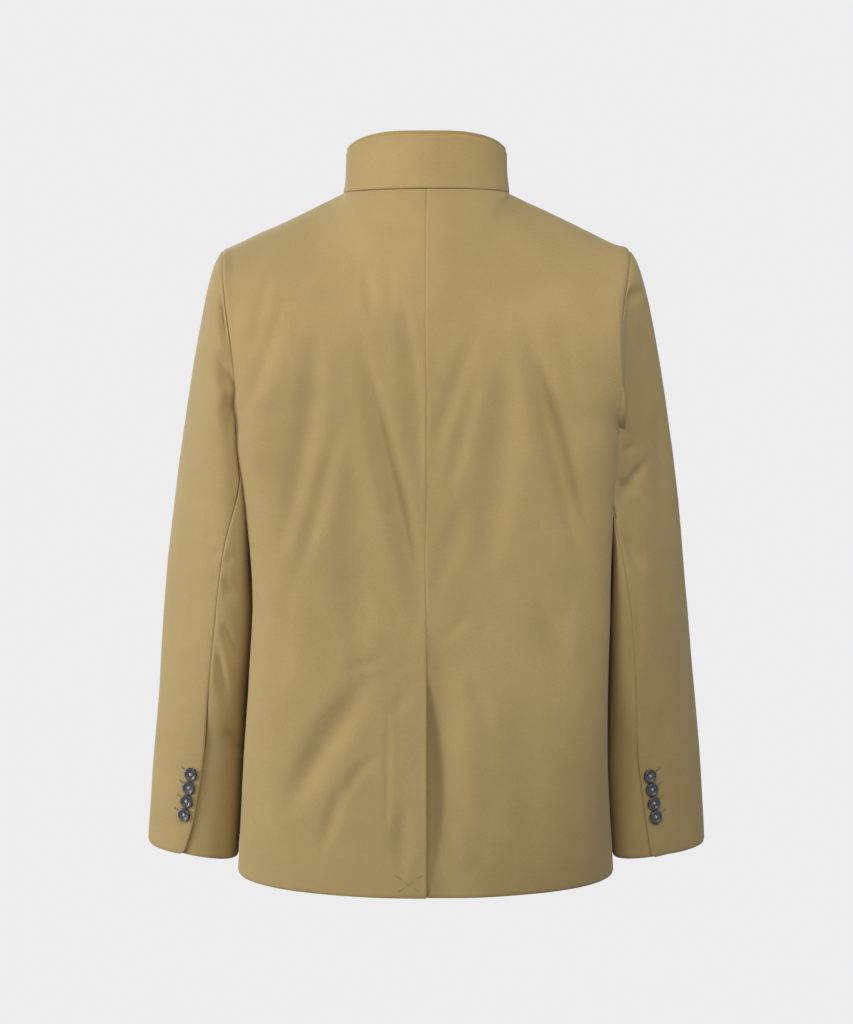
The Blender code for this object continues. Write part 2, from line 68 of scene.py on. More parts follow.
NECK_HALF = 0.088
NECK_SIDE_Y = -0.005
COLLAR_LEAN = 0.003
COLLAR_FACING_STEP = 0.003
COLLAR_FACING_START = 0.004

ARMHOLE_TOP_X = 0.2135
ARMHOLE_LOW_X = 0.1955
ARMHOLE_Y = 0.002
ARMHOLE_BACK = 0.080
ARMHOLE_SCOOP = 0.75
ARMHOLE_FRONT = 0.060

BUTTON_STAND = 0.022
VENT_TOP_Z = -0.498
VENT_UNDERLAP = 0.040
VENT_LAYER = LAYER + 2 * BEND_GAP
STAND_BESIDE = 0.050
COLLAR_BESIDE = 0.045
NECK_SLOPE = 0.8
CUFF_VENT_Z = -0.588
CUFF_UNDERLAP = math.radians(30)
UNDERLAP_FADE = math.radians(50)
UNDERLAP_RUN = 0.055
SIDE_SEAM_Y = -0.010
CORNER_FULL = 1.35
CUFF_TILT_OUT = 0.14
CUFF_TILT_REACH = 0.020
CUFF_TILT_BACK = 0.14
CAP_END_Z = -0.300
SLEEVE_FRONT_SEAM = math.radians(-125)

BLADE = 0.45
NECK_SHARE = 0.38
NECK_FORWARD = 0.080
NECK_UP_BACK = 0.110
NECK_UP_FRONT = 0.085
SHOULDER_FORWARD = 0.110
SHOULDER_UP = 0.004
NECK_CURVE = 1.4
UNDERARM_BLEND = 0.15

HEAD_OUT = 0.054
HEAD_DOWN = 0.030
GUSSET_OUT = 0.030
HEAD_SPREAD = 0.006
HEAD_HANG = 0.30
GUSSET_HANG = 0.05
NUDGE = 0.01

CUFF_BUTTON_PITCH = 0.0149
CUFF_BUTTON_FIRST_Z = -0.612
CUFF_BUTTON_INSET = 0.0113
FRONT_BUTTON_TOP_Z = -0.100
FRONT_BUTTON_PITCH = 0.100
FRONT_BUTTONS = 5
BUTTON_LIFT = 0.0004

LEFT, RIGHT = 1, -1
BACK, FRONT = 1, -1

Side = namedtuple("Side", "z left right")
SIDES = [
    Side(-0.725, 0.2015, 0.1995),
    Side(-0.650, 0.1970, 0.1940),
    Side(-0.560, 0.1910, 0.1900),
    Side(-0.480, 0.1840, 0.1905),
    Side(-0.410, 0.1790, 0.1925),
    Side(-0.350, 0.1860, 0.1945),
    Side(-0.290, 0.1955, 0.1970),
    Side(-0.262, 0.1955, 0.1955),
]

Profile = namedtuple("Profile", "z back front square")
PROFILES = [
    Profile(-0.725, 0.134, -0.124, 2.20),
    Profile(-0.650, 0.127, -0.122, 3.10),
    Profile(-0.560, 0.117, -0.119, 4.30),
    Profile(-0.480, 0.107, -0.118, 5.20),
    Profile(-0.400, 0.102, -0.120, 5.80),
    Profile(-0.300, 0.106, -0.126, 5.60),
    Profile(-0.200, 0.112, -0.128, 4.60),
    Profile(-0.130, 0.110, -0.116, 3.80),
    Profile(-0.062, 0.098, -0.090, 3.20),
    Profile(0.000, 0.068, -0.070, 3.00),
]

Ring = namedtuple("Ring", "z outer inner_left inner_right back front lean front_bend")
RINGS = [
    Ring(-0.300, 0.2695, 0.1975, 0.1985, 0.076, -0.090, 0.26, 0.72),
    Ring(-0.370, 0.2780, 0.1880, 0.1965, 0.066, -0.088, 0.33, 0.94),
    Ring(-0.430, 0.2835, 0.1830, 0.1950, 0.055, -0.088, 0.37, 1.08),
    Ring(-0.530, 0.2905, 0.1908, 0.1935, 0.034, -0.090, 0.36, 1.10),
    Ring(-0.610, 0.2970, 0.1960, 0.1944, 0.015, -0.093, 0.32, 1.16),
    Ring(-0.700, 0.3030, 0.2026, 0.2003, 0.002, -0.096, 0.28, 1.18),
]

Seam = namedtuple("Seam", "z left right left_edge right_edge")
SLEEVE_SEAMS = [
    Seam(-0.262, 135.0, 143.0, 135.0, 143.0),
    Seam(-0.300, 112.0, 131.0, 112.0, 131.0),
    Seam(-0.350, 88.5, 112.5, 88.5, 112.5),
    Seam(-0.410, 76.0, 93.0, 76.0, 93.0),
    Seam(-0.470, 73.0, 86.0, 73.0, 86.0),
    Seam(-0.530, 75.0, 88.0, 75.0, 88.0),
    Seam(-0.588, 79.0, 93.0, 79.0, 93.0),
    Seam(-0.640, 81.0, 95.5, 77.0, 91.0),
    Seam(-0.670, 81.5, 96.5, 73.5, 89.5),
    Seam(-0.700, 81.5, 96.5, 66.5, 87.5),
]

Stand = namedtuple("Stand", "turn height")
STANDS = [
    Stand(0, 0.0560),
    Stand(30, 0.0556),
    Stand(55, 0.0510),
    Stand(72, 0.0460),
    Stand(90, 0.0420),
    Stand(130, 0.0400),
    Stand(200, 0.0395),
]

# How far the armhole seam lies inside its solid's edge, by its turn from the shoulder tip in degrees. The
# back is fuller than its armhole and hangs over it.
Tuck = namedtuple("Tuck", "turn left right")
TUCKS = [
    Tuck(0, 0.0000, 0.0000),
    Tuck(30, 0.0000, 0.0005),
    Tuck(50, 0.0000, 0.0025),
    Tuck(72, 0.0010, 0.0055),
    Tuck(88, 0.0025, 0.0045),
    Tuck(106, 0.0035, 0.0022),
    Tuck(131, 0.0025, 0.0005),
    Tuck(161, 0.0010, 0.0000),
    Tuck(180, 0.0000, 0.0000),
]

# The sleeve beside the underarm: how far its back is drawn in to the body, how flat the right one hangs, and
# how far the cloth of the back stands out to meet it.
SLEEVE_DRAWN_LEFT = 0.0110
SLEEVE_DRAWN_RIGHT = 0.0085
SLEEVE_DRAWN_Z = -0.292
SLEEVE_DRAWN_LONG = 0.075
SLEEVE_DRAWN_WIDE = 0.030
SLEEVE_FLAT_TOP_Y = 0.084
SLEEVE_FLAT_LOW_Y = 0.062
SLEEVE_FLAT_SLOPE = 1.45
SLEEVE_FLAT_WIDE = 0.140
SLEEVE_FLAT_STRENGTH = 0.9
SLEEVE_FLAT_START = 0.007
UNDERARM_FULL_LEFT = 0.0085
UNDERARM_FULL_RIGHT = 0.0075
UNDERARM_FULL_Z = -0.252
UNDERARM_FULL_LONG = 0.040

# Edges that turn in at a seam, and the fullness of the back that hangs over the armhole
SEAM_TURN = 0.0016
SEAM_LAP = 0.0003
SLEEVE_LAP = 0.0014
FOOT_LAP = 0.0022
OVERHANG_LEFT = 0.0010
OVERHANG_RIGHT = 0.0070
ARMHOLE_ROLL = 0.0006
OVERHANG_REACH = 0.008

# How far and how deep a free edge and the edge of a slit roll in
EDGE_WIDE = 0.0016
EDGE_DEEP = 0.0008
SLIT_DEEP = 0.0007

# How wide the centre line is eased where the two halves meet
CENTRE_EASE = 0.06

# ---- creases ----

# Soft troughs as seen from behind, from top to foot. A minus depth is a ridge. The bow bends a fold sideways.
Fold = namedtuple("Fold", "x_top z_top x_foot z_foot bow half_width depth")
FOLD_FADE = 0.45
FOLD_END = 0.1
BACK_FOLDS = [
    Fold(0.070, -0.150, 0.003, -0.432, 0.000, 0.0095, 0.0066),
    Fold(0.070, -0.245, 0.018, -0.455, 0.000, 0.011, -0.0020),
    Fold(0.026, -0.105, 0.005, -0.310, 0.000, 0.009, 0.0042),
    Fold(0.063, -0.080, 0.054, -0.140, 0.000, 0.006, 0.0014),
    Fold(0.039, -0.070, 0.033, -0.135, 0.000, 0.007, 0.0009),
    Fold(0.112, -0.135, 0.152, -0.385, 0.007, 0.013, 0.0042),
    Fold(0.088, -0.240, 0.136, -0.415, 0.000, 0.010, 0.0030),
    Fold(0.162, -0.090, 0.182, -0.185, 0.000, 0.008, 0.0018),
    Fold(0.144, -0.112, 0.190, -0.250, 0.000, 0.010, 0.0030),
    Fold(0.079, -0.270, 0.068, -0.495, 0.000, 0.018, 0.0040),
    Fold(0.055, -0.496, 0.148, -0.650, -0.004, 0.015, 0.0064),
    Fold(0.040, -0.482, 0.088, -0.496, 0.000, 0.005, 0.0014),
    Fold(0.048, -0.580, 0.084, -0.628, -0.007, 0.006, 0.0018),
    Fold(0.085, -0.608, 0.109, -0.684, 0.000, 0.008, 0.0024),
    Fold(0.137, -0.390, 0.160, -0.540, 0.000, 0.014, 0.0020),
    Fold(0.020, -0.512, 0.036, -0.545, 0.000, 0.008, 0.0014),
    Fold(0.001, -0.493, 0.037, -0.505, 0.000, 0.003, -0.0008),
    Fold(0.039, -0.505, 0.041, -0.690, 0.000, 0.004, 0.0009),
    Fold(0.023, -0.625, 0.026, -0.700, 0.000, 0.009, 0.0022),
    Fold(-0.050, -0.145, -0.005, -0.275, 0.000, 0.010, 0.0028),
    Fold(-0.054, -0.180, -0.023, -0.315, 0.000, 0.009, 0.0022),
    Fold(-0.086, -0.155, -0.061, -0.400, 0.000, 0.018, 0.0058),
    Fold(-0.043, -0.312, -0.005, -0.425, 0.000, 0.011, 0.0018),
    Fold(-0.099, -0.145, -0.166, -0.405, 0.003, 0.013, 0.0110),
    Fold(-0.130, -0.120, -0.158, -0.225, 0.000, 0.009, 0.0014),
    Fold(-0.112, -0.410, -0.150, -0.540, 0.000, 0.014, 0.0024),
    Fold(-0.158, -0.410, -0.150, -0.510, 0.000, 0.009, -0.0018),
    Fold(-0.050, -0.434, -0.008, -0.468, 0.000, 0.007, 0.0008),
    Fold(-0.043, -0.497, -0.068, -0.560, 0.000, 0.010, 0.0020),
    Fold(-0.034, -0.515, -0.050, -0.665, 0.000, 0.018, -0.0026),
    Fold(-0.030, -0.645, -0.046, -0.700, 0.000, 0.010, -0.0016),
    Fold(-0.096, -0.520, -0.112, -0.700, 0.000, 0.022, 0.0026),
    Fold(0.073, -0.032, -0.034, -0.047, 0.000, 0.008, 0.0014),
]
FRONT_FOLDS = [
    Fold(0.150, -0.090, 0.060, -0.200, 0.000, 0.012, 0.0030),
    Fold(0.165, -0.140, 0.120, -0.290, 0.004, 0.012, 0.0034),
    Fold(0.060, -0.300, 0.045, -0.480, 0.000, 0.016, 0.0028),
    Fold(0.110, -0.420, 0.150, -0.600, 0.004, 0.014, 0.0034),
    Fold(0.090, -0.560, 0.085, -0.700, 0.000, 0.014, 0.0022),
    Fold(0.030, -0.150, 0.050, -0.230, 0.000, 0.010, 0.0016),
    Fold(-0.155, -0.095, -0.070, -0.190, 0.000, 0.012, 0.0028),
    Fold(-0.160, -0.150, -0.110, -0.300, -0.004, 0.013, 0.0036),
    Fold(-0.075, -0.320, -0.060, -0.500, 0.000, 0.016, 0.0030),
    Fold(-0.120, -0.450, -0.145, -0.610, 0.000, 0.014, 0.0032),
    Fold(-0.075, -0.580, -0.095, -0.700, 0.000, 0.013, 0.0024),
]
SLEEVE_FOLDS = [
    Fold(0.215, -0.104, 0.2035, -0.162, 0.000, 0.006, 0.0062),
    Fold(0.218, -0.166, 0.199, -0.212, 0.000, 0.008, 0.0060),
    Fold(0.207, -0.208, 0.198, -0.262, 0.000, 0.007, 0.0040),
    Fold(0.233, -0.280, 0.223, -0.397, 0.000, 0.008, 0.0015),
    Fold(0.226, -0.372, 0.196, -0.387, 0.000, 0.006, 0.0030),
    Fold(0.226, -0.398, 0.193, -0.428, 0.000, 0.007, 0.0036),
    Fold(0.215, -0.448, 0.196, -0.497, 0.000, 0.006, 0.0040),
    Fold(0.223, -0.470, 0.209, -0.546, 0.000, 0.006, 0.0040),
    Fold(0.215, -0.564, 0.194, -0.598, 0.000, 0.006, 0.0040),
    Fold(0.256, -0.330, 0.262, -0.480, 0.000, 0.010, 0.0012),
    Fold(-0.198, -0.116, -0.228, -0.106, 0.000, 0.006, 0.0034),
    Fold(-0.203, -0.272, -0.220, -0.266, 0.000, 0.005, 0.0016),
    Fold(-0.196, -0.300, -0.224, -0.316, 0.000, 0.005, 0.0036),
    Fold(-0.236, -0.276, -0.199, -0.324, 0.000, 0.006, 0.0034),
    Fold(-0.202, -0.352, -0.228, -0.400, 0.000, 0.007, 0.0036),
    Fold(-0.222, -0.430, -0.208, -0.520, 0.000, 0.008, 0.0030),
    Fold(-0.249, -0.540, -0.256, -0.582, 0.000, 0.006, 0.0012),
    Fold(-0.245, -0.200, -0.252, -0.360, 0.000, 0.011, 0.0016),
]
SLEEVE_FRONT_FOLDS = [
    Fold(0.216, -0.290, 0.262, -0.330, 0.000, 0.008, 0.0030),
    Fold(0.212, -0.360, 0.266, -0.385, 0.000, 0.008, 0.0036),
    Fold(0.214, -0.420, 0.262, -0.405, 0.000, 0.008, 0.0030),
    Fold(0.222, -0.520, 0.252, -0.600, 0.000, 0.010, 0.0022),
    Fold(-0.214, -0.300, -0.260, -0.345, 0.000, 0.008, 0.0030),
    Fold(-0.212, -0.372, -0.266, -0.392, 0.000, 0.008, 0.0034),
    Fold(-0.216, -0.430, -0.264, -0.418, 0.000, 0.008, 0.0028),
    Fold(-0.224, -0.530, -0.254, -0.610, 0.000, 0.010, 0.0020),
]

# How deep and wide the right back sinks beside the open vent
VENT_HOLLOW = 0.0120
VENT_HOLLOW_WIDE = 0.0125

# Fine unevenness of the cloth: how wide and long its swells are, and how high
SWELL_WIDE = 0.040
SWELL_LONG = 0.080
SWELL_HIGH = 0.0008
RIPPLE = 0.011
RIPPLE_HIGH = 0.00014

# ---- fineness ----

BODY_COLUMNS = 130
BODY_ROWS = 230
UPPER_COLUMNS = 100
UNDER_COLUMNS = 60
SLEEVE_ROWS = 190
COLLAR_COLUMNS = 240
COLLAR_ROWS = 18
BUTTON_SIDES = 48

# ---- flat cuts, width and length, with the share of that rectangle that the cut fills ----

Cut = namedtuple("Cut", "width length fill")


# ---- settings ----


class BlazerCloth(bpy.types.PropertyGroup):
    """Sizes and colours of the cloth."""

    colour: bpy.props.StringProperty(
        name="Cloth colour", description="Khaki of the cotton twill, as sRGB hex", default="#AE9763"
    )
    # The shade colour is painted shade: the darker tone given to the valleys of the weave and the low parts
    # of its slubs, where shade falls.
    shade: bpy.props.StringProperty(
        name="Cloth shade",
        description="Darker yarn in the valleys of the weave, as sRGB hex",
        default="#97814F",
    )
    thickness: bpy.props.FloatProperty(
        name="Thickness",
        description="Thickness of one layer of cloth",
        default=CLOTH,
        unit="LENGTH",
        precision=4,
    )
    seam_wide: bpy.props.FloatProperty(
        name="Seam roll width",
        description="How far from a seam its edge rolls in",
        default=0.0024,
        unit="LENGTH",
    )
    seam_deep: bpy.props.FloatProperty(
        name="Seam roll depth", description="How deep a seam's edge rolls in", default=0.0011, unit="LENGTH"
    )
    creases: bpy.props.FloatProperty(
        name="Creases", description="Strength of the folds and creases", default=1.0, subtype="FACTOR"
    )


class BlazerTrim(bpy.types.PropertyGroup):
    """Sizes and colours of the buttons and thread."""

    cuff_button: bpy.props.FloatProperty(
        name="Cuff button", description="Width of a cuff button", default=0.0146, unit="LENGTH", precision=4
    )
    front_button: bpy.props.FloatProperty(
        name="Front button",
        description="Width of a front button",
        default=0.020,
        unit="LENGTH",
        precision=4,
    )
    thick: bpy.props.FloatProperty(
        name="Button thickness",
        description="Thickness of a button",
        default=0.0030,
        unit="LENGTH",
        precision=4,
    )
    button_colour: bpy.props.StringProperty(
        name="Button colour", description="Navy horn-like resin, as sRGB hex", default="#1B1F29"
    )
    button_thread: bpy.props.StringProperty(
        name="Button thread", description="Pale thread through the buttons, as sRGB hex", default="#C9C7BC"
    )
    seam_thread: bpy.props.StringProperty(
        name="Seam thread", description="Thread of stitches and buttonholes, as sRGB hex", default="#9C8A58"
    )


class BlazerStudio(bpy.types.PropertyGroup):
    """The light and floor round the blazer."""

    backdrop: bpy.props.StringProperty(
        name="Backdrop", description="Pale paper of the floor and backdrop, as sRGB hex", default="#EDEDED"
    )
    key: bpy.props.FloatProperty(
        name="Key light",
        description="Power of the key light in watts",
        default=46.0,
    )
    top: bpy.props.FloatProperty(
        name="Top light",
        description="Power of the light above in watts",
        default=11.0,
    )
    fill: bpy.props.FloatProperty(
        name="Fill light",
        description="Power of the fill light in watts",
        default=20.0,
    )
    front: bpy.props.FloatProperty(
        name="Front light",
        description="Power of the front light in watts",
        default=30.0,
    )
    room: bpy.props.FloatProperty(
        name="Room light",
        description="Strength of light all round",
        default=0.24,
    )


# ---- small helpers ----


def deselect_all():
    for thing in bpy.context.selected_objects:
        thing.select_set(False)


def mix(a, b, share):
    return a + (b - a) * share


def ease(share):
    """0 to 1 with a soft start and end."""
    share = np.clip(share, 0.0, 1.0)
    return share * share * (3 - 2 * share)


def hermite(start, leave, end, arrive, share):
    s, s2, s3 = share, share**2, share**3
    bend = (2 * s3 - 3 * s2 + 1) * start + (s3 - 2 * s2 + s) * leave
    return bend + (3 * s2 - 2 * s3) * end + (s3 - s2) * arrive


def read(table, column, at, key="z"):
    """A smooth curve through one column of a table."""
    rows = sorted(table, key=lambda row: getattr(row, key))
    places = np.array([getattr(row, key) for row in rows], float)
    values = np.array([getattr(row, column) for row in rows], float)
    slopes = np.gradient(values, places)
    at = np.clip(at, places[0], places[-1])
    i = np.clip(np.searchsorted(places, at, side="right") - 1, 0, len(rows) - 2)
    step = places[i + 1] - places[i]
    share = (at - places[i]) / step
    return hermite(values[i], slopes[i] * step, values[i + 1], slopes[i + 1] * step, share)


def place(x, y, z):
    return np.stack(np.broadcast_arrays(x, y, z), axis=-1).astype(float)


def crowded(count, share):
    """Steps from 0 to 1 that are closer together at both ends."""
    steps = np.linspace(0.0, 1.0, count + 1)
    return mix(steps, ease(steps), share)


def side_name(side):
    return "left" if side == LEFT else "right"


# ---- the body's form ----


def armhole(side, turn):
    """A point of the armhole: turn 0 is the shoulder tip, +90 degrees the back and 180 the underarm."""
    top = (1 + np.cos(turn)) / 2
    along = np.abs(np.sin(turn))
    behind = ARMHOLE_BACK * np.where(top > 0.5, along, along**ARMHOLE_SCOOP)
    y = ARMHOLE_Y + np.where(np.sin(turn) > 0, behind, -ARMHOLE_FRONT * along)
    inside = read(TUCKS, side_name(side), np.abs(np.degrees(turn)), key="turn")
    x = side * (mix(ARMHOLE_LOW_X, ARMHOLE_TOP_X, top) - inside)
    return place(x, y, mix(UNDERARM_Z, SHOULDER_TIP_Z, top))


def neckline(turn):
    """A point of the neckline: turn 0 is centre back, +90 degrees the left shoulder and 180 centre front."""
    c = np.cos(turn)
    middle = np.where(c >= 0, read(PROFILES, "back", 0.0), read(PROFILES, "front", NECK_FRONT_Z))
    drop = np.where(c >= 0, 0.0, NECK_FRONT_Z)
    y = mix(NECK_SIDE_Y, middle, np.abs(c))
    return place(NECK_HALF * np.sin(turn), y, drop * np.abs(c) ** NECK_CURVE)


def top_row(side, face, u):
    """Half the neckline, then the shoulder seam. A negative u is past the centre line."""
    turn = np.minimum(u / NECK_SHARE, 1) * math.pi / 2
    neck = neckline(side * (turn if face == BACK else math.pi - turn))
    share = np.clip((u - NECK_SHARE) / (1 - NECK_SHARE), 0, 1)
    seam = mix(neckline(side * math.pi / 2), armhole(side, 0.0), share[..., None])
    return np.where((u <= NECK_SHARE)[..., None], neck, seam)


def section(u, depth, z, end, square):
    """A rounded quarter from the centre line to the side, where it runs straight to the front or back."""
    across, along = np.sin(u * math.pi / 2), np.cos(u * math.pi / 2)
    size = (np.abs(across) ** square + np.abs(along) ** square) ** (-1 / square)
    y = mix(end[..., 1], depth, size * along)
    return place(size * across * end[..., 0], y, mix(z, end[..., 2], u * u))


def squareness(face, z):
    """How square the sections are. The back's cloth hangs a little fuller at its sides than its solid."""
    full = CORNER_FULL if face == BACK else 1.0
    return read(PROFILES, "square", z) * mix(1.0, full, ease((z + 0.64) / 0.16))


def low_row(side, face, u, z):
    width = side * read(SIDES, side_name(side), z)
    rise = HEM_SIDE_RISE * (UNDERARM_Z - z) / (UNDERARM_Z - HEM_Z)
    depth = read(PROFILES, "back" if face == BACK else "front", z)
    return section(u, depth, z, place(width, SIDE_SEAM_Y, z + rise), squareness(face, z))


def high_row(side, face, u, rise):
    """A section cut off by the armhole. Its rise goes from 0 at the underarm to 1 at the shoulder tip."""
    z = mix(UNDERARM_Z, 0.0 if face == BACK else NECK_FRONT_Z, rise)
    depth = read(PROFILES, "back" if face == BACK else "front", z)
    square = squareness(face, z)
    end = armhole(side, face * math.pi * (1 - rise))
    end[..., 1] = mix(SIDE_SEAM_Y, end[..., 1], ease(rise / UNDERARM_BLEND))
    along = np.clip((end[..., 1] - SIDE_SEAM_Y) / (depth - SIDE_SEAM_Y), 0, 1)
    across = (1 - along**square) ** (1 / square)
    side_end = place(end[..., 0] / across, SIDE_SEAM_Y, z)
    point = section(u * np.arctan2(across, along) / (math.pi / 2), depth, z, side_end, square)
    behind_seam = end[..., 1] - mix(SIDE_SEAM_Y, depth, along)
    point[..., 1] += behind_seam * u * u
    point[..., 2] = mix(z, end[..., 2], u * u)
    return point


def form(side, face, u, v):
    """The garment form. v is 0 at the hem, 1 at the underarm and 2 at the neckline and shoulder seam."""
    low = low_row(side, face, u, mix(HEM_Z, UNDERARM_Z, np.minimum(v, 1)))
    rise = np.clip(v - 1, 0, 1)
    high = high_row(side, face, u, np.minimum(rise, BLADE))
    at_neck = np.array([0, -face * NECK_FORWARD, NECK_UP_BACK if face == BACK else NECK_UP_FRONT])
    at_shoulder = np.array([0, -face * SHOULDER_FORWARD, SHOULDER_UP])
    share = np.clip((rise - BLADE) / (1 - BLADE), 0, 1)[..., None]
    blade = np.full_like(v, BLADE)

    def carried(u, arrive):
        start = high_row(side, face, u, blade)
        leave = (start - high_row(side, face, u, blade - NUDGE)) / NUDGE * (1 - BLADE)
        return hermite(start, leave, top_row(side, face, u), arrive, share)

    one = np.ones_like(u)
    top = carried(u, mix(at_neck, at_shoulder, ease(np.abs(u) / NECK_SHARE)[..., None]))
    miss = high_row(side, face, one, rise) - carried(one, at_shoulder)
    outward = np.clip((u - NECK_SHARE) / (1 - NECK_SHARE), 0, 1)[..., None] ** 3
    top = top + miss * outward
    return np.where((v <= 1)[..., None], low, np.where((rise <= BLADE)[..., None], high, top))


def u_past_centre(x):
    """The u at which the hem is this far past the centre line, as a negative number."""
    across = x / read(SIDES, "left", HEM_Z)
    square = read(PROFILES, "square", HEM_Z)
    return -math.atan2(across, (1 - across**square) ** (1 / square)) / (math.pi / 2)


# ---- the sleeves' and collar's form ----


def sleeve_ring(side, turn, z, inset=0.0):
    """A point of a sleeve section: turn 0 is outside, +90 degrees the back and 180 the side of the body."""
    outer = read(RINGS, "outer", z)
    inner = read(RINGS, "inner_" + side_name(side), z)
    back = read(RINGS, "back", z)
    front = read(RINGS, "front", z)
    deep = (back - front) / 2
    lean = read(RINGS, "lean", z)
    across = (np.sqrt(((outer - inner) / 2) ** 2 - (lean * deep) ** 2) - inset) * np.cos(turn)
    along = (deep - inset) * np.sin(turn)
    down = (CAP_END_Z - z) / (CAP_END_Z - RINGS[-1].z)
    bend = np.where(np.sin(turn) < 0, read(RINGS, "front_bend", z) * np.sin(turn) ** 4, 0)
    x = (outer + inner) / 2 + across - lean * along - bend * deep
    tilt = (CUFF_TILT_OUT * np.minimum(across, CUFF_TILT_REACH) - CUFF_TILT_BACK * along) * down
    return place(side * x, (back + front) / 2 + along, z + tilt)


def sleeve(side, turn, w, inset=0.0):
    """The sleeve. w is 0 at the armhole, 1 below the cap and 2 at the cuff."""
    z = mix(CAP_END_Z, RINGS[-1].z, np.clip(w - 1, 0, 1))
    ring = sleeve_ring(side, turn, z, inset)
    cap_end = np.full_like(w, CAP_END_Z)
    start = armhole(side, turn) + np.array([side * SEAM_GAP, 0, 0])
    end = sleeve_ring(side, turn, cap_end)
    top = (1 + np.cos(turn)) / 2
    leave = place(side * mix(GUSSET_OUT, HEAD_OUT, top), HEAD_SPREAD * np.sin(turn), -HEAD_DOWN * top)
    below = sleeve_ring(side, turn, cap_end - NUDGE)
    arrive = (below - end) / NUDGE * mix(GUSSET_HANG, HEAD_HANG, top)[..., None]
    cap = hermite(start, leave, end, arrive, np.clip(w, 0, 1)[..., None])
    return np.where((w < 1)[..., None], cap, ring)


def sleeve_z(w):
    return np.where(w < 1, mix(UNDERARM_Z, CAP_END_Z, w), mix(CAP_END_Z, RINGS[-1].z, w - 1))


def seam_turn(side, z, edge=""):
    """The turn of the back seam at this height, or with "_edge" that of the upper sleeve's edge."""
    return np.radians(read(SLEEVE_SEAMS, side_name(side) + edge, z))


def collar_point(turn, share, extra=0.0, start=0.0, inset=0.0):
    """A point of the stand: share 0 is its foot and 1 its top edge, which may be extra higher."""
    foot = neckline(turn)
    height = read(STANDS, "height", np.abs(np.degrees(turn)), key="turn") + extra
    rise = mix(SEAM_GAP + start, height, share)
    lean = COLLAR_LEAN * (1 - (1 - rise / height) ** 3)
    radial = foot * np.array([1.0, 1.0, 0.0])
    radial /= np.linalg.norm(radial, axis=-1, keepdims=True)
    return foot + place(0 * rise, 0 * rise, rise) - radial * (lean + inset)[..., None]


def stand_inset(x, past):
    """How far the right front and collar are under the left ones: 0 away from the front edge, then 1."""
    return ease((x + BUTTON_STAND + past) / past)


# ---- creases on a sheet ----


def fold_field(folds, x, z):
    """How far in the folds draw the cloth at these places."""
    total = np.zeros_like(x)
    for fold in folds:
        run_x, run_z = fold.x_foot - fold.x_top, fold.z_foot - fold.z_top
        length = math.hypot(run_x, run_z)
        away_x, away_z = x - fold.x_top, z - fold.z_top
        along = (away_x * run_x + away_z * run_z) / length**2
        bow = 4 * fold.bow * np.clip(along, 0, 1) * (1 - np.clip(along, 0, 1))
        aside = (away_x * run_z - away_z * run_x) / length - bow
        taper = ease(along / FOLD_FADE + FOLD_END) * ease((1 - along) / FOLD_FADE + FOLD_END)
        width = fold.half_width * mix(0.7, 1.1, taper)
        q = (aside / width) ** 2
        total += fold.depth * taper * (1 - 0.5 * q) * np.exp(-0.8 * q)
    return total


def swells(across, up, wide, long, seed):
    """Smooth uneven heights between -1 and 1, with cells of the given size."""
    lattice = np.random.default_rng(seed).uniform(-1, 1, (64, 64))
    a, b = across / wide + 20.3, up / long + 20.7
    i, j = np.floor(a).astype(int), np.floor(b).astype(int)
    s, t = ease(a - i), ease(b - j)
    i, j = i % 63, j % 63
    low = mix(lattice[i, j], lattice[i + 1, j], s)
    high = mix(lattice[i, j + 1], lattice[i + 1, j + 1], s)
    return mix(low, high, t)


def roll(distance, width, depth):
    """How far an edge rolls in at this distance from it."""
    return depth * np.clip(1 - distance / width, 0, 1) ** 2


def runs(points, axis):
    """The length along the cloth from the first row or column to each other one."""
    steps = np.linalg.norm(np.diff(points, axis=axis), axis=-1)
    start = np.zeros_like(np.take(steps, [0], axis=axis))
    return np.cumsum(np.concatenate([start, steps], axis=axis), axis=axis)


def relaxed(points, passes=150):
    """The sheet eased along its length, so that no edge shows where parts of the form meet."""
    eased = points.copy()
    for _ in range(passes):
        eased[1:-1] = (eased[:-2] + 2 * eased[1:-1] + eased[2:]) / 4
    return eased


def eased_below_neck(points, u, to_top, passes=160):
    """The sheet with the ridge below the neck's side eased away, more so farther down from the top edge."""
    share = 0.5 * np.clip(to_top / 0.05, 0, 1) ** 2 * np.exp(-(((u - NECK_SHARE) / 0.2) ** 2))
    share = share[:, 1:-1, None]
    eased = points.copy()
    for _ in range(passes):
        eased[:, 1:-1] = mix(eased[:, 1:-1], (eased[:, :-2] + eased[:, 2:]) / 2, share)
    return eased


def outward_normals(points, sign):
    normals = np.cross(np.gradient(points, axis=1), np.gradient(points, axis=0)) * sign
    return normals / (np.linalg.norm(normals, axis=-1, keepdims=True) + 1e-12)


def uneven(points, normals, across, up, seed):
    """The small swells and ripples that keep worn cotton from lying smooth."""
    height = SWELL_HIGH * swells(across, up, SWELL_WIDE, SWELL_LONG, seed)
    height += RIPPLE_HIGH * swells(across, up, RIPPLE, RIPPLE * 1.6, seed + 1)
    return points + normals * height[..., None]


def turned_in(points, sign, axis, end, lap=SEAM_LAP, depth=SEAM_TURN):
    """The sheet with one more row or column: its edge turned in at a seam, so no light shows through."""
    normals = outward_normals(points, sign)
    edge, near = (0, 1) if end == 0 else (-1, -2)
    rim = np.take(points, [edge], axis=axis)
    way = rim - np.take(points, [near], axis=axis)
    way /= np.linalg.norm(way, axis=-1, keepdims=True)
    inward = rim + way * lap - np.take(normals, [edge], axis=axis) * depth
    return np.concatenate([inward, points] if end == 0 else [points, inward], axis=axis)


def widened(keep, axis, end):
    """The mask of kept faces with one more row or column."""
    edge = np.take(keep, [0 if end == 0 else -1], axis=axis)
    return np.concatenate([edge, keep] if end == 0 else [keep, edge], axis=axis)


# ---- sheets of cloth ----


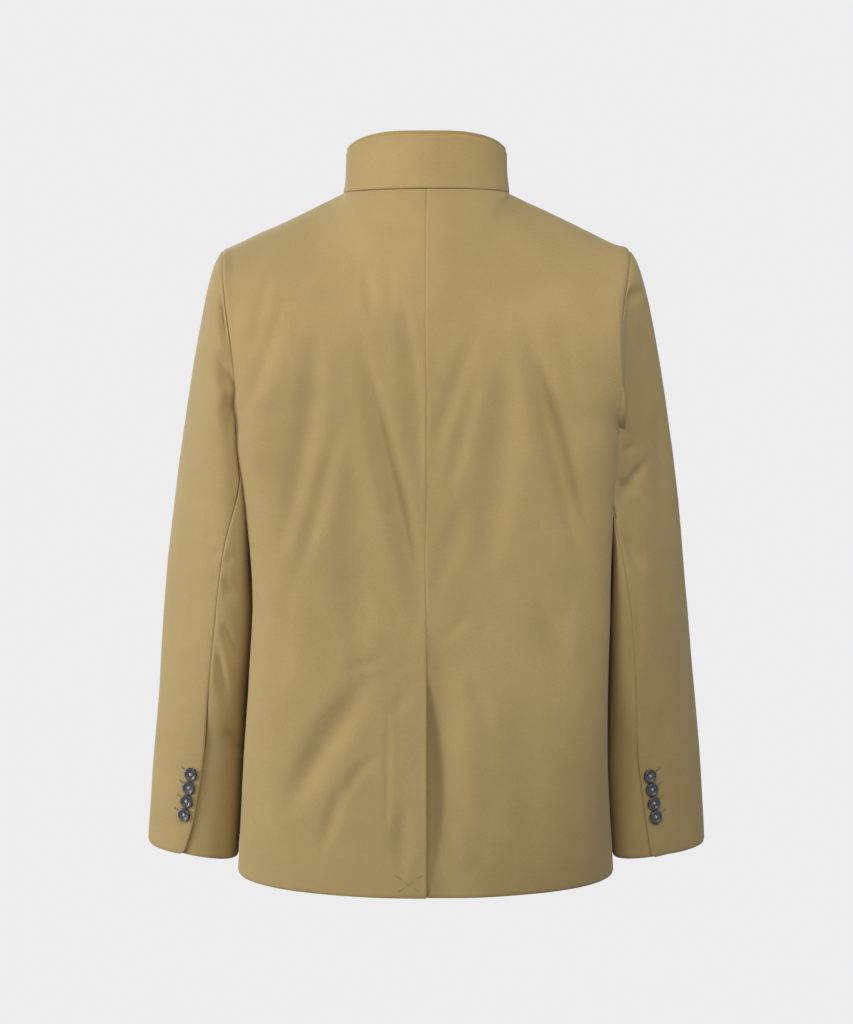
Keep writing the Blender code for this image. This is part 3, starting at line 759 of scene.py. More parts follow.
def linear(value):
    """An sRGB hex colour as a linear colour."""
    parts = [int(value[i : i + 2], 16) / 255 for i in (1, 3, 5)]
    return [c / 12.92 if c <= 0.04045 else ((c + 0.055) / 1.055) ** 2.4 for c in parts] + [1.0]


def add_node(tree, kind, settings=None, links=None):
    """A node with its settings, and with links from other nodes' outputs to its inputs."""
    node = tree.nodes.new(kind)
    for name, value in (settings or {}).items():
        if isinstance(name, int) or name in node.inputs:
            node.inputs[name].default_value = value
        else:
            setattr(node, name, value)
    for name, output in (links or {}).items():
        tree.links.new(output, node.inputs[name])
    return node


def soften(piece, width, segments, degrees):
    """Rounds the edges of the active piece that are sharper than this many degrees."""
    edge = piece.modifiers.new("edge", "BEVEL")
    edge.width = width
    edge.segments = segments
    edge.limit_method = "ANGLE"
    edge.angle_limit = math.radians(degrees)
    bpy.ops.object.modifier_apply(modifier=edge.name)


def cloth_sheet(name, points, sign, material, keep=None, thick=CLOTH):
    """A grid primitive moved onto the points, with its cloth map in metres, its wall and softened edges."""
    if sign < 0:
        points = points[:, ::-1]
        keep = None if keep is None else keep[:, ::-1]
    rows, columns = points.shape[:2]
    deselect_all()
    bpy.ops.mesh.primitive_grid_add(x_subdivisions=columns - 1, y_subdivisions=rows - 1, size=1)
    piece = bpy.context.object
    piece.name = name
    mesh = piece.data
    mesh.name = name
    flat = np.empty(len(mesh.vertices) * 3)
    mesh.vertices.foreach_get("co", flat)
    flat = flat.reshape(-1, 3)
    j = np.rint((flat[:, 0] + 0.5) * (columns - 1)).astype(int)
    i = np.rint((flat[:, 1] + 0.5) * (rows - 1)).astype(int)
    mesh.vertices.foreach_set("co", points[i, j].ravel())
    across = runs(points, 1)
    up = runs(points[:, columns // 2 : columns // 2 + 1], 0)
    corners = np.empty(len(mesh.loops), int)
    mesh.loops.foreach_get("vertex_index", corners)
    layer = mesh.uv_layers.active
    layer.name = "cloth"
    layer.uv.foreach_set("vector", np.stack([across[i, j], up[i, 0]], -1)[corners].ravel())
    if keep is not None:
        starts = np.empty(len(mesh.polygons), int)
        mesh.polygons.foreach_get("loop_start", starts)
        quads = corners[starts[:, None] + np.arange(4)]
        gone = ~keep[i[quads].min(1), j[quads].min(1)]
        bpy.ops.object.mode_set(mode="EDIT")
        bpy.ops.mesh.select_all(action="DESELECT")
        bpy.ops.object.mode_set(mode="OBJECT")
        mesh.polygons.foreach_set("select", gone)
        bpy.ops.object.mode_set(mode="EDIT")
        bpy.ops.mesh.select_mode(type="FACE")
        bpy.ops.mesh.delete(type="FACE")
        bpy.ops.object.mode_set(mode="OBJECT")
    wall = piece.modifiers.new("wall", "SOLIDIFY")
    wall.thickness = thick
    wall.offset = -1.0
    wall.use_quality_normals = True
    bpy.ops.object.modifier_apply(modifier=wall.name)
    soften(piece, thick * 0.3, 2, 55)
    bpy.ops.object.shade_smooth()
    mesh.materials.append(material)
    return piece


def declare(piece, node):
    """The piece rides on the garment's body and stands for its solid, which is hidden."""
    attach(piece, "root")
    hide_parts(node)


def body_rows():
    """The v of each row, closer together at the hem and the shoulders, with one at the vent's top."""
    rows = 2 * crowded(BODY_ROWS, 0.5)
    vent = (VENT_TOP_Z - HEM_Z) / (UNDERARM_Z - HEM_Z)
    rows[np.argmin(np.abs(rows - vent))] = vent
    return rows, vent


def smooth_form(side, face, u, v):
    points = form(side, face, u, v)
    points = mix(points, relaxed(points), ease((1 - u) / CENTRE_EASE)[..., None])
    up = runs(points, 0)
    return eased_below_neck(points, u, up[-1:] - up)


def overhang(side, face, v, to_armhole):
    """How far the fullness beside the armhole stands out."""
    low_end = ease((v - 1) / 0.25)
    high_end = ease((2 - v) / (0.12 if face == BACK else 0.4))
    share = to_armhole / OVERHANG_REACH
    strength = (OVERHANG_LEFT if side == LEFT else OVERHANG_RIGHT) * (1.0 if face == BACK else 0.3)
    return strength * low_end * high_end * share * np.exp(1 - share)


def back_points(side, creases, roll_wide, roll_deep):
    rows, vent = body_rows()
    columns = crowded(BODY_COLUMNS, 0.8)
    before = np.array([]) if side == LEFT else np.linspace(u_past_centre(VENT_UNDERLAP), 0, 12)[:-1]
    u, v = np.meshgrid(np.concatenate([before, columns]), rows)
    points = smooth_form(side, BACK, u, v)
    normals = outward_normals(points, -side)
    centre = len(before)
    across, up = runs(points, 1), runs(points, 0)
    from_centre = np.abs(across - across[:, centre : centre + 1])
    to_side = across[:, -1:] - across
    to_top = up[-1:] - up
    x, z = points[..., 0].copy(), points[..., 2].copy()
    depth = creases * fold_field(BACK_FOLDS, x, z) * ease(to_side / 0.02) * ease(to_top / 0.03)
    depth -= overhang(side, BACK, v, to_side) + underarm_fullness(side, points, to_side)
    seam = roll(to_side, roll_wide, ARMHOLE_ROLL) + roll(to_top, roll_wide, roll_deep)
    closed = ease((z - VENT_TOP_Z) / 0.004)
    seam += roll(from_centre, roll_wide, roll_deep) * closed
    depth += seam + roll(up, EDGE_WIDE, EDGE_DEEP)
    points = uneven(points - normals * depth[..., None], normals, from_centre * side, up, 5 + side)
    down = np.clip((VENT_TOP_Z - z) / (VENT_TOP_Z - HEM_Z), 0, 1)
    if side == RIGHT:
        past = np.clip(-x, 0, None) / VENT_HOLLOW_WIDE / (0.12 + np.sin(math.pi * down**1.1))
        hollow = VENT_HOLLOW * np.sin(math.pi * np.clip(down, 0, 0.93)) * np.exp(-(past**2.6))
        beside = ease(1.1 + x / 0.05) * ease(1 + (VENT_TOP_Z - z) / 0.05)
        points[..., 1] -= VENT_LAYER * beside + hollow
    else:
        lift = 0.0014 * np.exp(-from_centre / 0.012) * np.sin(math.pi * down)
        points[..., 1] += lift - roll(from_centre, 0.0014, 0.0008) * (1 - closed)
    keep = np.ones((len(rows) - 1, u.shape[1] - 1), bool)
    if side == RIGHT:
        above = rows > vent + 1e-9
        turned = turned_in(points[:, centre:], -side, 1, 0)[:, 0]
        points[above, centre - 1] = turned[above]
        keep[above[1:], : centre - 1] = False
    else:
        points = turned_in(points, -side, 1, 0)
        keep = widened(keep, 1, 0)
    points = turned_in(turned_in(points, -side, 1, 1), -side, 0, 1)
    return points, widened(widened(keep, 1, 1), 0, 1)


def front_points(side, creases, roll_wide, roll_deep):
    rows, _ = body_rows()
    columns = crowded(BODY_COLUMNS - 30, 0.8)
    before = np.linspace(u_past_centre(BUTTON_STAND), 0, 10)[:-1]
    u, v = np.meshgrid(np.concatenate([before, columns]), rows)
    points = smooth_form(side, FRONT, u, v)
    normals = outward_normals(points, side)
    across, up = runs(points, 1), runs(points, 0)
    to_side = across[:, -1:] - across
    to_top = up[-1:] - up
    x, z = points[..., 0].copy(), points[..., 2].copy()
    near_edge = ease((across - 0.045) / 0.02)
    depth = creases * fold_field(FRONT_FOLDS, x, z) * ease(to_side / 0.02) * ease(to_top / 0.03) * near_edge
    depth -= overhang(side, FRONT, v, to_side)
    depth += roll(to_side, roll_wide, ARMHOLE_ROLL) + roll(to_top, roll_wide, roll_deep)
    depth += roll(up, EDGE_WIDE, EDGE_DEEP) + roll(across, EDGE_WIDE, SLIT_DEEP)
    level = ease((across - 0.04) / 0.03)
    ripples = uneven(points, normals, across * side, up, 15 + side) - points
    points = points - normals * depth[..., None] + ripples * level[..., None]
    if side == RIGHT:
        slope = 1 + NECK_SLOPE * ease(1 - (NECK_FRONT_Z - z) / -NECK_FRONT_Z)
        points[..., 1] += LAYER * slope * stand_inset(x, STAND_BESIDE)
    return turned_in(turned_in(points, side, 1, 1), side, 0, 1)


def sleeve_rows():
    rows = 2 * crowded(SLEEVE_ROWS, 0.5)
    vent = 1 + (CAP_END_Z - CUFF_VENT_Z) / (CAP_END_Z - RINGS[-1].z)
    rows[np.argmin(np.abs(rows - vent))] = vent
    return rows, vent


def sleeve_creases(points, turn, creases):
    """The folds of the back of the sleeve fade out round its sides, and so do those of its front."""
    x, z = points[..., 0], points[..., 2]
    behind = ease((np.sin(turn - 0.35) + 0.25) / 0.4)
    ahead = ease((-np.sin(turn) - 0.1) / 0.4)
    back = fold_field(SLEEVE_FOLDS, x, z) * behind
    return creases * (back + fold_field(SLEEVE_FRONT_FOLDS, x, z) * ahead)


def drawn_to_body(points, side):
    """The sleeve with the back of its top pulled in beside the body, where the underarm holds it."""
    x, y, z = points[..., 0], points[..., 1], points[..., 2]
    near = np.exp(-(((z - SLEEVE_DRAWN_Z) / SLEEVE_DRAWN_LONG) ** 2))
    near *= np.exp(-((np.clip(np.abs(x) - ARMHOLE_LOW_X, 0, None) / SLEEVE_DRAWN_WIDE) ** 2))
    near *= ease((y - 0.01) / 0.04)
    drawn = points.copy()
    drawn[..., 0] -= side * (SLEEVE_DRAWN_LEFT if side == LEFT else SLEEVE_DRAWN_RIGHT) * near
    return drawn


def flattened(points, side):
    """The right sleeve with its back hung flat, sloping off forward from the side of the body."""
    if side == LEFT:
        return points
    x, y, z = points[..., 0], points[..., 1], points[..., 2]
    down = np.clip((UNDERARM_Z + 0.17 - z) / 0.21, 0, 1)
    aside = SLEEVE_FLAT_WIDE * (1 - np.exp(-(np.abs(x) - ARMHOLE_LOW_X) / SLEEVE_FLAT_WIDE))
    plane = mix(SLEEVE_FLAT_TOP_Y, SLEEVE_FLAT_LOW_Y, down) - SLEEVE_FLAT_SLOPE * aside
    strength = SLEEVE_FLAT_STRENGTH * ease(runs(points, 0) / SLEEVE_FLAT_START)
    strength *= mix(0.2, 1, ease((z + 0.46) / 0.20))
    flat = points.copy()
    flat[..., 1] -= strength * np.clip(y - plane, 0, None)
    return flat


def underarm_fullness(side, points, to_armhole):
    """How far the cloth of the back stands out beside the underarm."""
    strength = UNDERARM_FULL_LEFT if side == LEFT else UNDERARM_FULL_RIGHT
    near = np.exp(-(((points[..., 2] - UNDERARM_FULL_Z) / UNDERARM_FULL_LONG) ** 2))
    near *= ease((np.abs(points[..., 0]) - 0.14) / 0.04) * ease((points[..., 1] - 0.01) / 0.04)
    return strength * near * ease(to_armhole / 0.010)


def upper_sleeve_points(side, creases, roll_wide, roll_deep):
    rows, vent = sleeve_rows()
    share, w = np.meshgrid(crowded(UPPER_COLUMNS, 0.7), rows)
    z = sleeve_z(w)
    back = seam_turn(side, z, "_edge")
    corner = np.clip((w - 2) * (CAP_END_Z - RINGS[-1].z) + 0.005, 0, 0.005) / 0.005
    back = back - (1 - np.sqrt(1 - (corner * 0.999) ** 2)) * 0.005 / 0.05
    turn = mix(SLEEVE_FRONT_SEAM, back, share)
    points = flattened(drawn_to_body(sleeve(side, turn, w), side), side)
    normals = outward_normals(points, -side)
    across, down = runs(points, 1), runs(points, 0)
    to_back = across[:, -1:] - across
    to_cuff = down[-1:] - down
    seams = ease(down / 0.005) * ease(to_back / 0.01) * ease(across / 0.01)
    depth = sleeve_creases(points, turn, creases) * seams * ease(to_cuff / 0.04)
    above = ease((vent - w) / 0.02)
    depth += roll(across, roll_wide, roll_deep) + roll(down, roll_wide, ARMHOLE_ROLL)
    depth += roll(to_back, roll_wide, roll_deep) * above + roll(to_back, EDGE_WIDE, SLIT_DEEP) * (1 - above)
    depth += roll(to_cuff, EDGE_WIDE, EDGE_DEEP)
    points = uneven(points - normals * depth[..., None], normals, across, down, 25 + side)
    points = turned_in(turned_in(points, -side, 1, 0), -side, 1, 1)
    return turned_in(points, -side, 0, 0, SLEEVE_LAP)


def under_sleeve_points(side, creases, roll_wide, roll_deep):
    rows, vent = sleeve_rows()
    lap = np.linspace(-1, 0, 9)[:-1]
    share, w = np.meshgrid(np.concatenate([lap, crowded(UNDER_COLUMNS, 0.7)]), rows)
    z = sleeve_z(w)
    seam = seam_turn(side, z)
    end = SLEEVE_FRONT_SEAM + 2 * math.pi
    turn = np.where(share < 0, seam + CUFF_UNDERLAP * share, mix(seam, end, share))
    near = ease(1 - (turn - seam) / UNDERLAP_FADE)
    down_to_vent = ease(1 + (CUFF_VENT_Z - z) / UNDERLAP_RUN)
    points = flattened(drawn_to_body(sleeve(side, turn, w, VENT_LAYER * near * down_to_vent), side), side)
    normals = outward_normals(points, -side)
    centre = len(lap)
    across, down = runs(points, 1), runs(points, 0)
    from_seam = np.abs(across - across[:, centre : centre + 1])
    to_end = across[:, -1:] - across
    to_cuff = down[-1:] - down
    above = ease((vent - w) / 0.02)
    seams = ease(down / 0.005) * mix(1, ease(from_seam / 0.01), above) * ease(to_end / 0.01)
    depth = sleeve_creases(points, turn, creases) * seams * ease(to_cuff / 0.04)
    depth = np.where(share < 0, 0, depth)
    depth += roll(to_end, roll_wide, roll_deep) + roll(down, roll_wide, ARMHOLE_ROLL)
    depth += roll(from_seam, roll_wide, roll_deep) * above + roll(to_cuff, EDGE_WIDE, EDGE_DEEP)
    points = uneven(points - normals * depth[..., None], normals, across, down, 35 + side)
    keep = np.ones((len(rows) - 1, share.shape[1] - 1), bool)
    sewn_shut = rows < vent - 1e-9
    turned = turned_in(points[:, centre:], -side, 1, 0)[:, 0]
    points[sewn_shut, centre - 1] = turned[sewn_shut]
    keep[sewn_shut[:-1], : centre - 1] = False
    points = turned_in(turned_in(points, -side, 1, 1), -side, 0, 0, SLEEVE_LAP)
    return points, widened(widened(keep, 1, 1), 0, 0)


def collar_points(extra, start, inset, top_roll, seed):
    end = math.pi + math.asin(BUTTON_STAND / NECK_HALF)
    turn, share = np.meshgrid(np.linspace(-end, end, COLLAR_COLUMNS + 1), crowded(COLLAR_ROWS, 0.8))
    points = collar_point(turn, share, extra, start, inset + 0 * share)
    x = points[..., 0].copy()
    lapped = turn < -math.pi / 2
    points[..., 1] += np.where(lapped, 2 * LAYER * stand_inset(x, COLLAR_BESIDE), 0)
    normals = outward_normals(points, -1)
    up = runs(points, 0)
    across = runs(points, 1)
    to_top = up[-1:] - up
    depth = roll(to_top, 0.0022, top_roll) + roll(up, EDGE_WIDE, EDGE_DEEP)
    swell = 0.0005 * swells(across, up, 0.030, 0.018, seed) * ease(up / 0.008) * ease(to_top / 0.008)
    points = points + normals * (swell - depth)[..., None]
    return turned_in(points, -1, 0, 0, FOOT_LAP)


# ---- materials ----

# Twill lines of the real cloth lie about 0.6 mm apart. They are drawn 1.5 mm apart, as coarse as they need to
# be to show at all.
TWILL_PITCH = 0.0015
WAVE_PERIOD = 2 * math.pi / 20  # of Blender's wave texture at scale 1
TWILL_TURN = math.radians(63)

# Sizes in metres of a slub, of a patch that has faded alike, of a streak in the resin and of a ply of thread
SLUB = 0.0030
FADED_PATCH = 0.05
STREAK = 0.004
PLY = 0.0004


def new_material(name, settings):
    """A material with these settings of its shader, its node tree and the shader itself."""
    material = bpy.data.materials.new(name)
    material.use_nodes = True
    shader = material.node_tree.nodes["Principled BSDF"]
    for key, value in settings.items():
        shader.inputs[key].default_value = value
    return material, material.node_tree, shader


def cotton_twill(name, colour, shade, seed):
    """Khaki cotton twill, coloured by piece dyeing and softly brushed: matt, with fine steep diagonal lines,
    slight slubs and a faint bloom of fibre ends at grazing light. The low parts of its lines and slubs are
    painted toward the darker shade colour, as painted shade in the valleys of the weave."""
    matt = {"Roughness": 0.82, "Specular IOR Level": 0.25, "Sheen Weight": 0.10, "Sheen Roughness": 0.5}
    material, tree, shader = new_material(name, matt)
    cloth = add_node(tree, "ShaderNodeUVMap", {"uv_map": "cloth"})
    slant = {"Rotation": (0, 0, TWILL_TURN), "Location": (seed, 0, 0)}
    turned = add_node(tree, "ShaderNodeMapping", slant, {"Vector": cloth.outputs[0]})
    lines = {"Scale": WAVE_PERIOD / TWILL_PITCH, "Distortion": 0.6, "Detail": 2.0, "Detail Scale": 3.0}
    twill = add_node(tree, "ShaderNodeTexWave", lines, {"Vector": turned.outputs[0]})
    flecks = {"Scale": 1 / SLUB, "Detail": 3.0, "Roughness": 0.6}
    slub = add_node(tree, "ShaderNodeTexNoise", flecks, {"Vector": cloth.outputs[0]})
    patches = {"Scale": 1 / FADED_PATCH, "Detail": 3.0, "Roughness": 0.5}
    bloom = add_node(tree, "ShaderNodeTexNoise", patches, {"Vector": cloth.outputs[0]})
    weave = add_node(tree, "ShaderNodeMath", {"operation": "MULTIPLY", 1: 0.5}, {0: twill.outputs["Color"]})
    fleck = add_node(tree, "ShaderNodeMath", {"operation": "MULTIPLY", 1: 0.5}, {0: slub.outputs[0]})
    both = add_node(tree, "ShaderNodeMath", {"operation": "ADD"}, {0: weave.outputs[0], 1: fleck.outputs[0]})
    # Painted shade: where the weave and slubs are low, the colour turns toward the darker shade colour.
    valleys = {"From Min": 0.2, "From Max": 0.8, "To Min": 0.75, "To Max": -0.2}
    tone = add_node(tree, "ShaderNodeMapRange", valleys, {"Value": both.outputs[0]})
    dye_and_shade_colours = {"data_type": "RGBA", 6: linear(colour), 7: linear(shade)}
    dye_and_valley_shade = add_node(tree, "ShaderNodeMix", dye_and_shade_colours, {"Factor": tone.outputs[0]})
    fading = {"From Min": 0.3, "From Max": 0.7, "To Min": 0.965, "To Max": 1.035}
    patch = add_node(tree, "ShaderNodeMapRange", fading, {"Value": bloom.outputs[0]})
    scaled = {0: dye_and_valley_shade.outputs[2], "Scale": patch.outputs[0]}
    tinted = add_node(tree, "ShaderNodeVectorMath", {"operation": "SCALE"}, scaled)
    tree.links.new(tinted.outputs[0], shader.inputs["Base Color"])
    relief = {"Strength": 0.5, "Distance": 0.0002}
    bump = add_node(tree, "ShaderNodeBump", relief, {"Height": both.outputs[0]})
    tree.links.new(bump.outputs[0], shader.inputs["Normal"])
    return material


def horn_resin(name, colour):
    """Polyester button moulded to look like dark horn: navy, semi-gloss from tumbling, with faint streaks."""
    glossy = {"IOR": 1.54, "Coat Weight": 0.25, "Coat Roughness": 0.15}
    material, tree, shader = new_material(name, glossy)
    at = add_node(tree, "ShaderNodeTexCoord")
    streaks = {"Scale": 1 / STREAK, "Detail": 4.0, "Distortion": 1.2}
    streak = add_node(tree, "ShaderNodeTexNoise", streaks, {"Vector": at.outputs["Object"]})
    dark = linear(colour)
    pale = [min(1.0, c * 2.6 + 0.01) for c in dark[:3]] + [1.0]
    source = {"Value": streak.outputs[0]}
    tone = add_node(tree, "ShaderNodeMapRange", {"From Min": 0.45, "From Max": 0.75}, source)
    ends = {"data_type": "RGBA", 6: dark, 7: pale}
    tinted = add_node(tree, "ShaderNodeMix", ends, {"Factor": tone.outputs[0]})
    tree.links.new(tinted.outputs[2], shader.inputs["Base Color"])
    rough = add_node(tree, "ShaderNodeMapRange", {"To Min": 0.28, "To Max": 0.42}, source)
    tree.links.new(rough.outputs[0], shader.inputs["Roughness"])
    return material


def spun_thread(name, colour):
    """Spun polyester sewing thread: matt, with the fine slant of its plies."""
    material, tree, shader = new_material(name, {"Roughness": 0.7, "Sheen Weight": 0.2})
    at = add_node(tree, "ShaderNodeTexCoord")
    twist = {"Scale": WAVE_PERIOD / PLY, "Distortion": 1.0}
    plies = add_node(tree, "ShaderNodeTexWave", twist, {"Vector": at.outputs["Object"]})
    base = linear(colour)
    shaded = [c * 0.62 for c in base[:3]] + [1.0]
    ends = {"data_type": "RGBA", 6: shaded, 7: base}
    tinted = add_node(tree, "ShaderNodeMix", ends, {"Factor": plies.outputs["Color"]})
    tree.links.new(tinted.outputs[2], shader.inputs["Base Color"])
    return material


def backdrop_paper(name, colour):
    """Seamless studio paper, lit so evenly that no shadow or grain shows: it glows in its pale colour."""
    glow = {"Base Color": (0.0, 0.0, 0.0, 1.0), "Roughness": 1.0, "Specular IOR Level": 0.0}
    glow.update({"Emission Color": linear(colour), "Emission Strength": 1.0})
    return new_material(name, glow)[0]


MATERIALS = {}


def the_material(name, make, *settings):
    if name not in MATERIALS:
        MATERIALS[name] = make(name, *settings)
    return MATERIALS[name]


def cloth_material(seed):
    cloth = bpy.context.scene.blazer_cloth
    names = ("body", "sleeve", "collar", "facing")
    name = "khaki_cotton_twill_" + names[seed]
    return the_material(name, cotton_twill, cloth.colour, cloth.shade, seed * 0.37)


# ---- operators: cloth ----


def crease_settings():
    cloth = bpy.context.scene.blazer_cloth
    return cloth.creases, cloth.seam_wide, cloth.seam_deep


class BLAZER_OT_back(bpy.types.Operator):
    """Adds the two halves of the back, open below at the vent"""

    bl_idname = "blazer.back"
    bl_label = "Back"

    def execute(self, context):
        for side in (LEFT, RIGHT):
            points, keep = back_points(side, *crease_settings())
            name = "back_" + side_name(side)
            piece = cloth_sheet(name + "_panel", points, -side, cloth_material(0), keep)
            declare(piece, name)
        return {"FINISHED"}


class BLAZER_OT_front(bpy.types.Operator):
    """Adds the two fronts, the left one over the right"""

    bl_idname = "blazer.front"
    bl_label = "Fronts"

    def execute(self, context):
        for side in (LEFT, RIGHT):
            name = "front_" + side_name(side)
            points = front_points(side, *crease_settings())
            piece = cloth_sheet(name + "_panel", points, side, cloth_material(0))
            declare(piece, name)
        return {"FINISHED"}


class BLAZER_OT_sleeves(bpy.types.Operator):
    """Adds the upper and under sleeves, with a vent at each cuff"""

    bl_idname = "blazer.sleeves"
    bl_label = "Sleeves"

    def execute(self, context):
        for side in (LEFT, RIGHT):
            name = "upper_sleeve_" + side_name(side)
            points = upper_sleeve_points(side, *crease_settings())
            piece = cloth_sheet(name + "_panel", points, -side, cloth_material(1))
            declare(piece, name)
            name = "under_sleeve_" + side_name(side)
            points, keep = under_sleeve_points(side, *crease_settings())
            piece = cloth_sheet(name + "_panel", points, -side, cloth_material(1), keep)
            declare(piece, name)
        return {"FINISHED"}


class BLAZER_OT_collar(bpy.types.Operator):
    """Adds the stand collar and the facing inside it, which rolls over its top edge"""

    bl_idname = "blazer.collar"
    bl_label = "Collar"

    def execute(self, context):
        points = collar_points(0.0, 0.0, 0.0, 0.0012, 45)
        piece = cloth_sheet("collar_outer_stand", points, -1, cloth_material(2))
        declare(piece, "collar_outer")
        points = collar_points(COLLAR_FACING_STEP, COLLAR_FACING_START, LAYER, -0.0010, 46)
        piece = cloth_sheet("collar_inner_stand", points, -1, cloth_material(3), thick=0.001)
        declare(piece, "collar_inner")
        return {"FINISHED"}


# ---- operators: buttons and thread ----

# The turned button's outline from its back edge up over the rim and down into the dish: shares of its
# radius and thickness
BUTTON_OUTLINE = [
    (0.88, 0.00),
    (0.97, 0.14),
    (1.00, 0.42),
    (0.985, 0.70),
    (0.93, 0.90),
    (0.85, 1.00),
    (0.76, 0.98),
    (0.68, 0.84),
    (0.60, 0.68),
    (0.50, 0.62),
    (0.16, 0.62),
]
BUTTON_HOLE = 0.00085
BUTTON_HOLE_SPREAD = 0.0019
THREAD = 0.00042


def turned_button(name, width, thick, material):
    """A four-hole button with its back on the XY plane: a ring extruded along its outline, then drilled."""
    radius = width / 2
    deselect_all()
    start, low = BUTTON_OUTLINE[0]
    bpy.ops.mesh.primitive_circle_add(vertices=BUTTON_SIDES, radius=start * radius, fill_type="NGON")
    piece = bpy.context.object
    piece.name = name
    bpy.ops.object.mode_set(mode="EDIT")
    for share, height in BUTTON_OUTLINE[1:]:
        bpy.ops.mesh.extrude_region_move(TRANSFORM_OT_translate={"value": (0, 0, (height - low) * thick)})
        bpy.ops.transform.resize(value=(share / start, share / start, 1))
        start, low = share, height
    bpy.ops.mesh.select_all(action="SELECT")
    bpy.ops.mesh.normals_make_consistent(inside=False)
    bpy.ops.object.mode_set(mode="OBJECT")
    for corner in range(4):
        turn = math.radians(45 + 90 * corner)
        spot = (BUTTON_HOLE_SPREAD * math.cos(turn), BUTTON_HOLE_SPREAD * math.sin(turn), thick / 2)
        deselect_all()
        bpy.ops.mesh.primitive_cylinder_add(vertices=16, radius=BUTTON_HOLE, depth=2 * thick, location=spot)
        drill = bpy.context.object
        cut = piece.modifiers.new("hole", "BOOLEAN")
        cut.object = drill
        cut.operation = "DIFFERENCE"
        deselect_all()
        piece.select_set(True)
        bpy.context.view_layer.objects.active = piece
        bpy.ops.object.modifier_apply(modifier=cut.name)
        bpy.data.objects.remove(drill)
    soften(piece, 0.00012, 2, 60)
    bpy.ops.object.shade_smooth_by_angle(angle=math.radians(40))
    piece.data.materials.append(material)
    return piece


def one_stitch(length, radius, rise):
    """The points and faces of one stitch along X: a thin rod whose ends dip into the cloth."""
    deselect_all()
    lying = (0, math.pi / 2, 0)
    bpy.ops.mesh.primitive_cylinder_add(vertices=6, radius=radius, depth=length, rotation=lying)
    rod = bpy.context.object
    bpy.ops.object.transform_apply(location=False, rotation=True, scale=False)
    bpy.ops.object.mode_set(mode="EDIT")
    for share in (-0.3, 0.0, 0.3):
        bpy.ops.mesh.select_all(action="SELECT")
        bpy.ops.mesh.bisect(plane_co=(length * share, 0, 0), plane_no=(1, 0, 0))
    bpy.ops.object.mode_set(mode="OBJECT")
    points = np.array([tuple(v.co) for v in rod.data.vertices])
    faces = [tuple(f.vertices) for f in rod.data.polygons]
    bpy.data.objects.remove(rod)
    end = np.abs(points[:, 0]) / (length / 2)
    points[:, 1:] *= (1 - 0.55 * end**3)[:, None]
    points[:, 2] += rise * (1 - end**2) - radius * 0.5
    return points, faces


def sewn(name, stitch, places, material):
    """One object with a copy of a stitch at each place: a centre, the way along and the way out."""
    points, faces = stitch
    corners, loops = [], []
    for centre, along, out in places:
        along, out = along / np.linalg.norm(along), out / np.linalg.norm(out)
        aside = np.cross(out, along)
        aside /= np.linalg.norm(aside)
        out = np.cross(along, aside)
        first = len(corners) * len(points)
        corners.append(centre + points[:, :1] * along + points[:, 1:2] * aside + points[:, 2:] * out)
        loops += [[first + k for k in face] for face in faces]
    mesh = bpy.data.meshes.new(name)
    mesh.from_pydata(np.concatenate(corners).tolist(), [], loops)
    mesh.shade_smooth()
    mesh.materials.append(material)
    piece = bpy.data.objects.new(name, mesh)
    bpy.context.scene.collection.objects.link(piece)
    return piece


def on_cloth(piece, point, out):
    """The place on the cloth under a point of its form, and the way out of the cloth there."""
    start = Vector(point) + Vector(out).normalized() * 0.012
    hit, location, normal, _ = piece.ray_cast(start, -Vector(out).normalized(), distance=0.03)
    if not hit:
        hit, location, normal, _ = piece.closest_point_on_mesh(start)
    return np.array(location), np.array(normal)


def running_stitch(piece, path, length, pitch):
    """Places for stitches along a path given as a list of points of the form and ways out of it."""
    points = np.array([p for p, _ in path], float)
    outs = np.array([n for _, n in path], float)
    run = np.concatenate([[0], np.cumsum(np.linalg.norm(np.diff(points, axis=0), axis=1))])
    places = []
    for k in range(int(run[-1] // pitch)):
        ends = []
        for at in (k * pitch, k * pitch + length):
            point = np.array([np.interp(at, run, points[:, c]) for c in range(3)])
            out = np.array([np.interp(at, run, outs[:, c]) for c in range(3)])
            ends.append(on_cloth(piece, point, out))
        places.append(((ends[0][0] + ends[1][0]) / 2, ends[1][0] - ends[0][0], ends[0][1] + ends[1][1]))
    return places


def cuff_seat(side, z):
    """A cuff button's place on the sleeve, the way round the sleeve and the way out."""
    z = np.array(float(z))
    girth = read(RINGS, "back", CUFF_BUTTON_FIRST_Z) - read(RINGS, "front", CUFF_BUTTON_FIRST_Z)
    turn = seam_turn(side, z, "_edge") - CUFF_BUTTON_INSET / (girth / 2)
    seat = sleeve_ring(side, turn, z)
    around = sleeve_ring(side, turn - 0.01, z) - sleeve_ring(side, turn + 0.01, z)
    down = sleeve_ring(side, turn, z - 0.001) - sleeve_ring(side, turn, z + 0.001)
    outward = np.cross(around, down) * side
    return seat, around / np.linalg.norm(around), outward / np.linalg.norm(outward)


def front_seat(z):
    """The centre front's point at this height, and the way out of the cloth there."""
    low, high = 0.0, 2.0
    zero = np.array(0.0)
    for _ in range(30):
        middle = (low + high) / 2
        low, high = (middle, high) if form(LEFT, FRONT, zero, np.array(middle))[2] < z else (low, middle)
    slope = form(LEFT, FRONT, zero, np.array(high + 0.02)) - form(LEFT, FRONT, zero, np.array(high - 0.02))
    outward = np.array([0, -slope[2], slope[1]])
    return form(LEFT, FRONT, zero, np.array(high)), outward / np.linalg.norm(outward)


